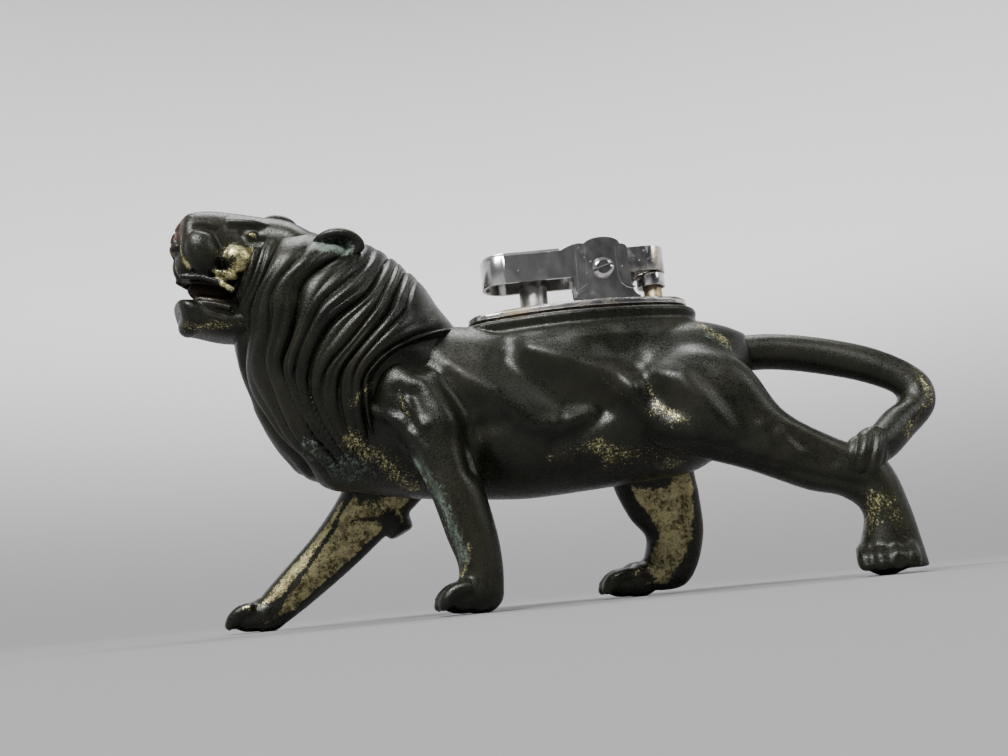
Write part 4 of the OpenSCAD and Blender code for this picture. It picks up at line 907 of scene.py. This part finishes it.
class Maker:
    # A material in the making
    def __init__(self, name):
        self.material = bpy.data.materials.new(name)
        self.material.use_nodes = True
        self.tree = self.material.node_tree
        self.shader = self.tree.nodes["Principled BSDF"]
        self.places = self.node("ShaderNodeTexCoord", {}, {}, "Object")

    def node(self, kind, settings, inputs, output=0):
        made = self.tree.nodes.new(kind)
        for key, value in settings.items():
            setattr(made, key, value)
        for key, value in inputs.items():
            self.feed(made.inputs[key], value)
        return Field(self, made.outputs[output])

    def feed(self, socket, value):
        if isinstance(value, Field):
            self.tree.links.new(value.socket, socket)
        elif isinstance(value, tuple) and len(value) == 3 and len(socket.default_value) == 4:
            socket.default_value = (*value, 1)
        else:
            socket.default_value = value

    def noise(self, scale, detail=4, roughness=0.6):
        return self.node("ShaderNodeTexNoise", {}, {
            "Vector": self.places, "Scale": scale, "Detail": detail, "Roughness": roughness}, "Fac")

    def along(self, axis):
        return self.node("ShaderNodeSeparateXYZ", {}, {0: self.places}, axis)

    def cells(self, scale):
        return self.node("ShaderNodeTexVoronoi", {}, {"Vector": self.places, "Scale": scale}, "Distance")

    def layer(self, name):
        return self.node("ShaderNodeAttribute", {"attribute_name": name}, {}, "Fac")

    def mix(self, share, one, two):
        return self.node("ShaderNodeMix", {"data_type": "RGBA"}, {0: share, 6: one, 7: two}, 2)

    def bump(self, height, distance, strength):
        return self.node("ShaderNodeBump", {}, {
            "Height": height, "Distance": distance, "Strength": strength}, "Normal")

    def set(self, **inputs):
        names = {"color": "Base Color", "metal": "Metallic", "rough": "Roughness", "normal": "Normal",
                 "specular": "Specular IOR Level"}
        for key, value in inputs.items():
            self.feed(self.shader.inputs[names[key]], value)
        return self.material


bronze = {
    "lacquer": ((0.005, 0.0054, 0.0026), (0.016, 0.0163, 0.0085)),
    "red": (0.075, 0.032, 0.016),
    "crust": (0.055, 0.075, 0.045),
    "brass": ((0.24, 0.21, 0.08), (0.72, 0.68, 0.36)),
    "pale": ((0.05, 0.043, 0.02), (0.34, 0.31, 0.16)),
    "green": ((0.05, 0.075, 0.045), (0.20, 0.26, 0.22)),
    "specular": 0.34,
}


def bronzeFinish():
    # Dark lacquered finish over brass: worn through in specks on the high places, green in the grooves
    k = Maker("bronzedCasting")
    broad = k.noise(90, 4)
    fine = k.noise(1400, 5, 0.75)
    grain = k.noise(3200, 3, 0.6)
    patch = k.noise(300, 4, 0.7)
    wear = (k.layer("wear") + 1.9 * (k.noise(2600, 5, 0.8) - 0.5) + 0.6 * (patch - 0.5)).above(0.55, 0.76)
    inner = (k.layer("inner") + 1.2 * (patch - 0.5) + 1.2 * (k.noise(1700, 4, 0.75) - 0.5)).above(0.4, 0.6)
    groove = k.layer("groove")
    dark = k.mix(broad.above(0.35, 0.7), *bronze["lacquer"])
    dark = k.mix(k.layer("red") * 0.8, dark, bronze["red"])
    crust = (groove * 0.5 + 0.9 * (patch - 0.5)).above(0.3, 0.5) * 0.45
    dark = k.mix(crust, dark, bronze["crust"])
    brass = k.mix(fine.above(0.35, 0.65), *bronze["brass"])
    pale = k.mix((patch + fine - 0.5).above(0.3, 0.6), *bronze["pale"])
    specks = k.noise(1900, 3, 0.7).above(0.58, 0.66)
    shown = wear.largest(inner) * (1 - 0.8 * specks)
    color = k.mix(shown, dark, k.mix(inner, brass, pale))
    green = (k.layer("green") + 1.8 * (k.noise(1900, 4, 0.75) - 0.5)).above(0.55, 0.8)
    color = k.mix(green * 0.7, color, k.mix(patch.above(0.4, 0.6), *bronze["green"]))
    rough = 0.17 + 0.14 * broad + 0.24 * grain.above(0.35, 0.65) + 0.25 * crust + 0.35 * green
    height = fine + 0.7 * grain + 0.8 * broad - 0.5 * specks * shown + 0.4 * green
    return k.set(color=color, metal=(0.2 + 0.75 * shown) * (1 - green), rough=rough,
                 specular=bronze["specular"], normal=k.bump(height, 0.00005, 0.9))


chrome = {
    "film": (0.42, 0.33, 0.18),
    "pit": (0.10, 0.075, 0.045),
    "haze": (0.30, 0.29, 0.26),
    # channelShade: painted shade, the dark colour inside the thumb lever's channel
    "channelShade": (0.016, 0.014, 0.011),
    "sheet": 0.75,
}
chromeTone = (0.72, 0.71, 0.69)


def chromeFinish(name, tone, rough, stain, channel=None):
    # Old chrome: slightly wavy, pitted, filmed with corrosion; with painted shade inside the channel of the
    # given node
    k = Maker(name)
    broad = k.noise(130, 2)
    fine = k.noise(1500, 5, 0.7)
    pits = k.cells(700)
    pit = (1 - pits.above(0.05, 0.16)) * k.noise(160, 3).above(0.5, 0.62)
    film = (k.noise(180, 5, 0.7) * stain).above(0.42, 0.75)
    color = k.mix(film, tone, chrome["film"])
    color = k.mix(pit, color, chrome["pit"])
    color = k.mix(fine.above(0.5, 0.7) * 0.35, color, chrome["haze"])
    channelShade = 0
    # Painted shade: inside the given node's channel the chrome is darkened, made less metallic and rougher
    if channel:
        low, high = boxOf(channel)
        wall = chrome["sheet"]
        x, y, z = (k.along(axis) / mm for axis in ("X", "Y", "Z"))
        channelShade = ((x - low[0]).above(wall, 3) * (y - low[1]).above(wall, wall + 0.2)
                * (high[1] - y).above(wall, wall + 0.2) * (high[2] - z).above(wall + 0.6, wall + 1))
        color = k.mix(channelShade, color, chrome["channelShade"])
    return k.set(color=color, metal=1 - 0.6 * pit - 0.25 * film - 0.8 * channelShade,
                 rough=rough + 0.10 * fine + 0.25 * film + 0.4 * pit + 0.3 * channelShade,
                 normal=k.bump(broad + 0.03 * fine - 0.05 * pit, 0.0003, 0.8))


def plainMetal(name, low, high, rough, scale=500):
    # Dull metal in patches of two tones
    k = Maker(name)
    patches = k.noise(scale, 5, 0.7)
    return k.set(color=k.mix(patches.above(0.3, 0.7), low, high), metal=0.9, rough=rough + 0.2 * patches,
                 normal=k.bump(k.noise(3 * scale, 4, 0.7), 0.00003, 0.5))


def plainSoft(name, low, high, rough, scale=700):
    # Fibre, rubber or cotton in patches of two tones
    k = Maker(name)
    patches = k.noise(scale, 5, 0.7)
    return k.set(color=k.mix(patches.above(0.3, 0.7), low, high), metal=0.0, rough=rough + 0.15 * patches,
                 normal=k.bump(patches, 0.0002, 0.8))


finishes = {
    "bronze": bronzeFinish(),
    "chrome": chromeFinish("chromeSheet", chromeTone, 0.13, 0.75),
    "chromeLever": chromeFinish("chromeLever", chromeTone, 0.13, 0.75, "thumb_lever"),
    "chromeArm": chromeFinish("chromeArm", chromeTone, 0.13, 1.0),
    "chromePad": chromeFinish("chromePad", (0.60, 0.60, 0.60), 0.26, 0.7),
    "chromePlate": chromeFinish("chromePlate", (0.66, 0.65, 0.63), 0.16, 0.95),
    "steel": plainMetal("dullSteel", (0.22, 0.21, 0.20), (0.48, 0.47, 0.45), 0.3),
    "rust": plainMetal("rustedTube", (0.28, 0.20, 0.11), (0.50, 0.42, 0.28), 0.35, 900),
    "brass": plainMetal("oldBrass", (0.42, 0.30, 0.12), (0.72, 0.56, 0.28), 0.25),
    "tin": plainMetal("tankSheet", (0.40, 0.39, 0.37), (0.62, 0.61, 0.59), 0.3, 260),
    "cotton": plainSoft("cotton", (0.60, 0.55, 0.43), (0.82, 0.79, 0.70), 0.85),
    "wick": plainSoft("wick", (0.10, 0.08, 0.06), (0.50, 0.45, 0.36), 0.85, 2500),
    "fibre": plainSoft("fibre", (0.12, 0.07, 0.04), (0.24, 0.15, 0.09), 0.8),
    "seal": plainSoft("seal", (0.02, 0.018, 0.015), (0.05, 0.045, 0.04), 0.7),
    "flint": plainMetal("flintStone", (0.08, 0.08, 0.085), (0.20, 0.20, 0.21), 0.5),
}


def castPiece(name, mesh, node):
    # A piece of the lion, kept inside the solids' box, that stands for a node of the casting
    inset = 0.01
    lowest = np.array(cadLow) / mm + inset
    highest = np.array(cadHigh) / mm - inset
    obj = objectOf(name, mesh)
    setPoints(mesh, np.clip(pointsOf(mesh), lowest, highest))
    mesh.materials.clear()
    mesh.materials.append(finishes["bronze"])
    for face in mesh.polygons:
        face.use_smooth = True
    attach(obj, "lion")
    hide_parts(node)


def castHalves(meshes):
    for mesh in meshes:
        side = mesh.name.split("_")[1]
        castPiece(mesh.name, mesh, f"casting_{side}")


castHalves(bodyPieces())
print("body done")
castHalves(manePieces() + headPieces())
print("mane and head done")
castPiece("lion_tail", tailPiece(), "tail")
print("tail done")

# CAD nodes that stay: finish and the size of their rounded edges, in mm
kept = {
    "cover_plate": ("chromePlate", 0.25), "bracket": ("chrome", 0.12), "bracket_rivets": ("chrome", 0.1),
    "axle_screw": ("chrome", 0.1), "axle_nut": ("chrome", 0.1), "thumb_lever": ("chromeLever", 0.15),
    "thumb_pad": ("chromePad", 0.2), "snuffer_arm": ("chromeArm", 0.15), "snuffer_cap": ("chrome", 0.1),
    "plunger_barrel": ("steel", 0.1), "plunger": ("steel", 0.1), "plunger_spring": ("steel", 0),
    "wick_tube": ("rust", 0.05), "wick": ("wick", 0.2), "snuffer_seal": ("seal", 0.1),
    "spark_wheel": ("steel", 0), "ratchet_wheel": ("steel", 0), "pawl": ("steel", 0.05),
    "wheel_spacer": ("brass", 0.05), "lever_studs": ("steel", 0.05), "tank": ("tin", 0.2),
    "cotton_packing": ("cotton", 0.3), "flint_tube": ("brass", 0.05), "flint": ("flint", 0.05),
    "flint_follower": ("brass", 0.05), "flint_spring": ("steel", 0), "flint_screw": ("brass", 0.1),
    "filler_screw": ("brass", 0.1), "filler_gasket": ("seal", 0.05), "seat_gasket": ("fibre", 0.05),
}
edges = {"weld": 0.000002, "segments": 2, "angle": 32}
for name, (finish, edge) in kept.items():
    obj = nodes[name]
    obj.data.materials.clear()
    obj.data.materials.append(finishes[finish])
    weld = obj.modifiers.new("Weld", "WELD")
    weld.merge_threshold = edges["weld"]
    if edge:
        bevel = obj.modifiers.new("Edges", "BEVEL")
        bevel.width = edge * mm
        bevel.segments = edges["segments"]
        bevel.limit_method = "ANGLE"
        bevel.angle_limit = math.radians(edges["angle"])
        bevel.harden_normals = True
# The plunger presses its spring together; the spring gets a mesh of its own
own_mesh(nodes["plunger_spring"])
print("insert done")


# Stage, light and camera

# Colours of the floor, painted darker as shade, of the paper up the wall, the room and the sky; then the
# floor's flat radius and its bend into the wall, in m
stage = {
    "floor": (0.21, 0.205, 0.21),
    "paper": (0.84, 0.83, 0.84),
    "dark": (0.02, 0.02, 0.024),
    "pale": (0.2, 0.2, 0.21),
    "sky": (0.2, 0.205, 0.22),
    "middle": (0.0005, 0.15),
    "flat": 0.34,
    "bend": 1.1,
    "sides": 128,
}


def stageFinish():
    # Paper under and behind the lion, painted darker on the floor as shade and pale up the wall; in front of
    # it, for the metal to reflect, a room that darkens to the right
    k = Maker("palePaper")
    room = k.mix(k.along("X").above(-0.12, 0.28), stage["pale"], stage["dark"])
    # Painted shade: the floor is darker than the paper higher up the wall
    paper = k.mix(k.along("Z").above(-0.03, 0.4), stage["floor"], stage["paper"])
    behind = k.along("Y").above(-0.34, -0.19)
    return k.set(color=k.mix(behind, room, paper), rough=0.9, specular=0.0)


def backdropPiece():
    # A floor that turns up all round into a wall: radius and height of a profile, spun about Z
    sides = stage["sides"]
    t = np.linspace(0, np.pi / 2, 40)
    radius = np.concatenate([stage["middle"], stage["flat"] + stage["bend"] * np.sin(t)])
    height = np.concatenate([[0, 0], stage["bend"] * (1 - np.cos(t))])
    a = np.linspace(0, 2 * np.pi, sides, endpoint=False)[None, :]
    rings = np.stack([radius[:, None] * np.cos(a), radius[:, None] * np.sin(a), height[:, None] + 0 * a], -1)
    count = len(rings)
    i = np.arange(count - 1)[:, None] * sides
    k = np.arange(sides)[None, :]
    n = (k + 1) % sides
    quads = np.stack([i + sides + k, i + sides + n, i + n, i + k], -1).reshape(-1, 4)
    mesh = bpy.data.meshes.new("backdrop")
    mesh.from_pydata(rings.reshape(-1, 3).tolist(), [], quads.tolist() + [list(range(sides))])
    obj = objectOf("backdrop", mesh)
    mesh.materials.append(stageFinish())
    for face in mesh.polygons:
        face.use_smooth = True


def lightFrom(name, kind, place, target, settings):
    # A light at a place, turned to its target
    light = bpy.data.lights.new(name, kind)
    for key, value in settings.items():
        setattr(light, key, value)
    obj = bpy.data.objects.new(name, light)
    bpy.context.scene.collection.objects.link(obj)
    obj.location = place
    obj.rotation_mode = "QUATERNION"
    obj.rotation_quaternion = (Vector(target) - Vector(place)).to_track_quat("-Z", "Y")


view = {"place": (-8.9, -201.2, 2.5), "pitch": 11, "roll": 5.4, "lens": 39.8}


def placeCamera():
    # The photograph's view: from the level of the paws, looking up a little, with a small roll
    data = bpy.data.cameras.new("camera")
    data.lens = view["lens"]
    data.sensor_width = 36
    data.clip_start = 0.005
    data.clip_end = 20
    obj = bpy.data.objects.new("camera", data)
    bpy.context.scene.collection.objects.link(obj)
    obj.matrix_world = (Matrix.Translation(Vector(view["place"]) * mm)
                        @ Matrix.Rotation(math.radians(90 + view["pitch"]), 4, "X")
                        @ Matrix.Rotation(math.radians(-view["roll"]), 4, "Z"))
    bpy.context.scene.camera = obj


lionMiddle = (0, 0, 0.04)
areaLights = [
    ("key", (-0.3, -0.55, 0.75), lionMiddle, {"size": 0.55, "size_y": 0.16, "energy": 15}),
    ("fill", (0.6, -0.35, 0.5), lionMiddle, {"size": 0.2, "size_y": 0.4, "energy": 2}),
    ("top", (0, 0.5, 1.3), (0, 0.3, 0), {"size": 0.9, "size_y": 0.6, "energy": 19}),
]
backdropPiece()
lightFrom("sun", "SUN", (-0.45, -0.6, 0.9), lionMiddle, {"energy": 0.6, "angle": math.radians(22)})
for name, place, target, settings in areaLights:
    lightFrom(name, "AREA", place, target, {"shape": "RECTANGLE", **settings})
world = bpy.data.worlds.new("world")
bpy.context.scene.world = world
world.use_nodes = True
world.node_tree.nodes["Background"].inputs["Color"].default_value = (*stage["sky"], 1)
placeCamera()
print("stage done")
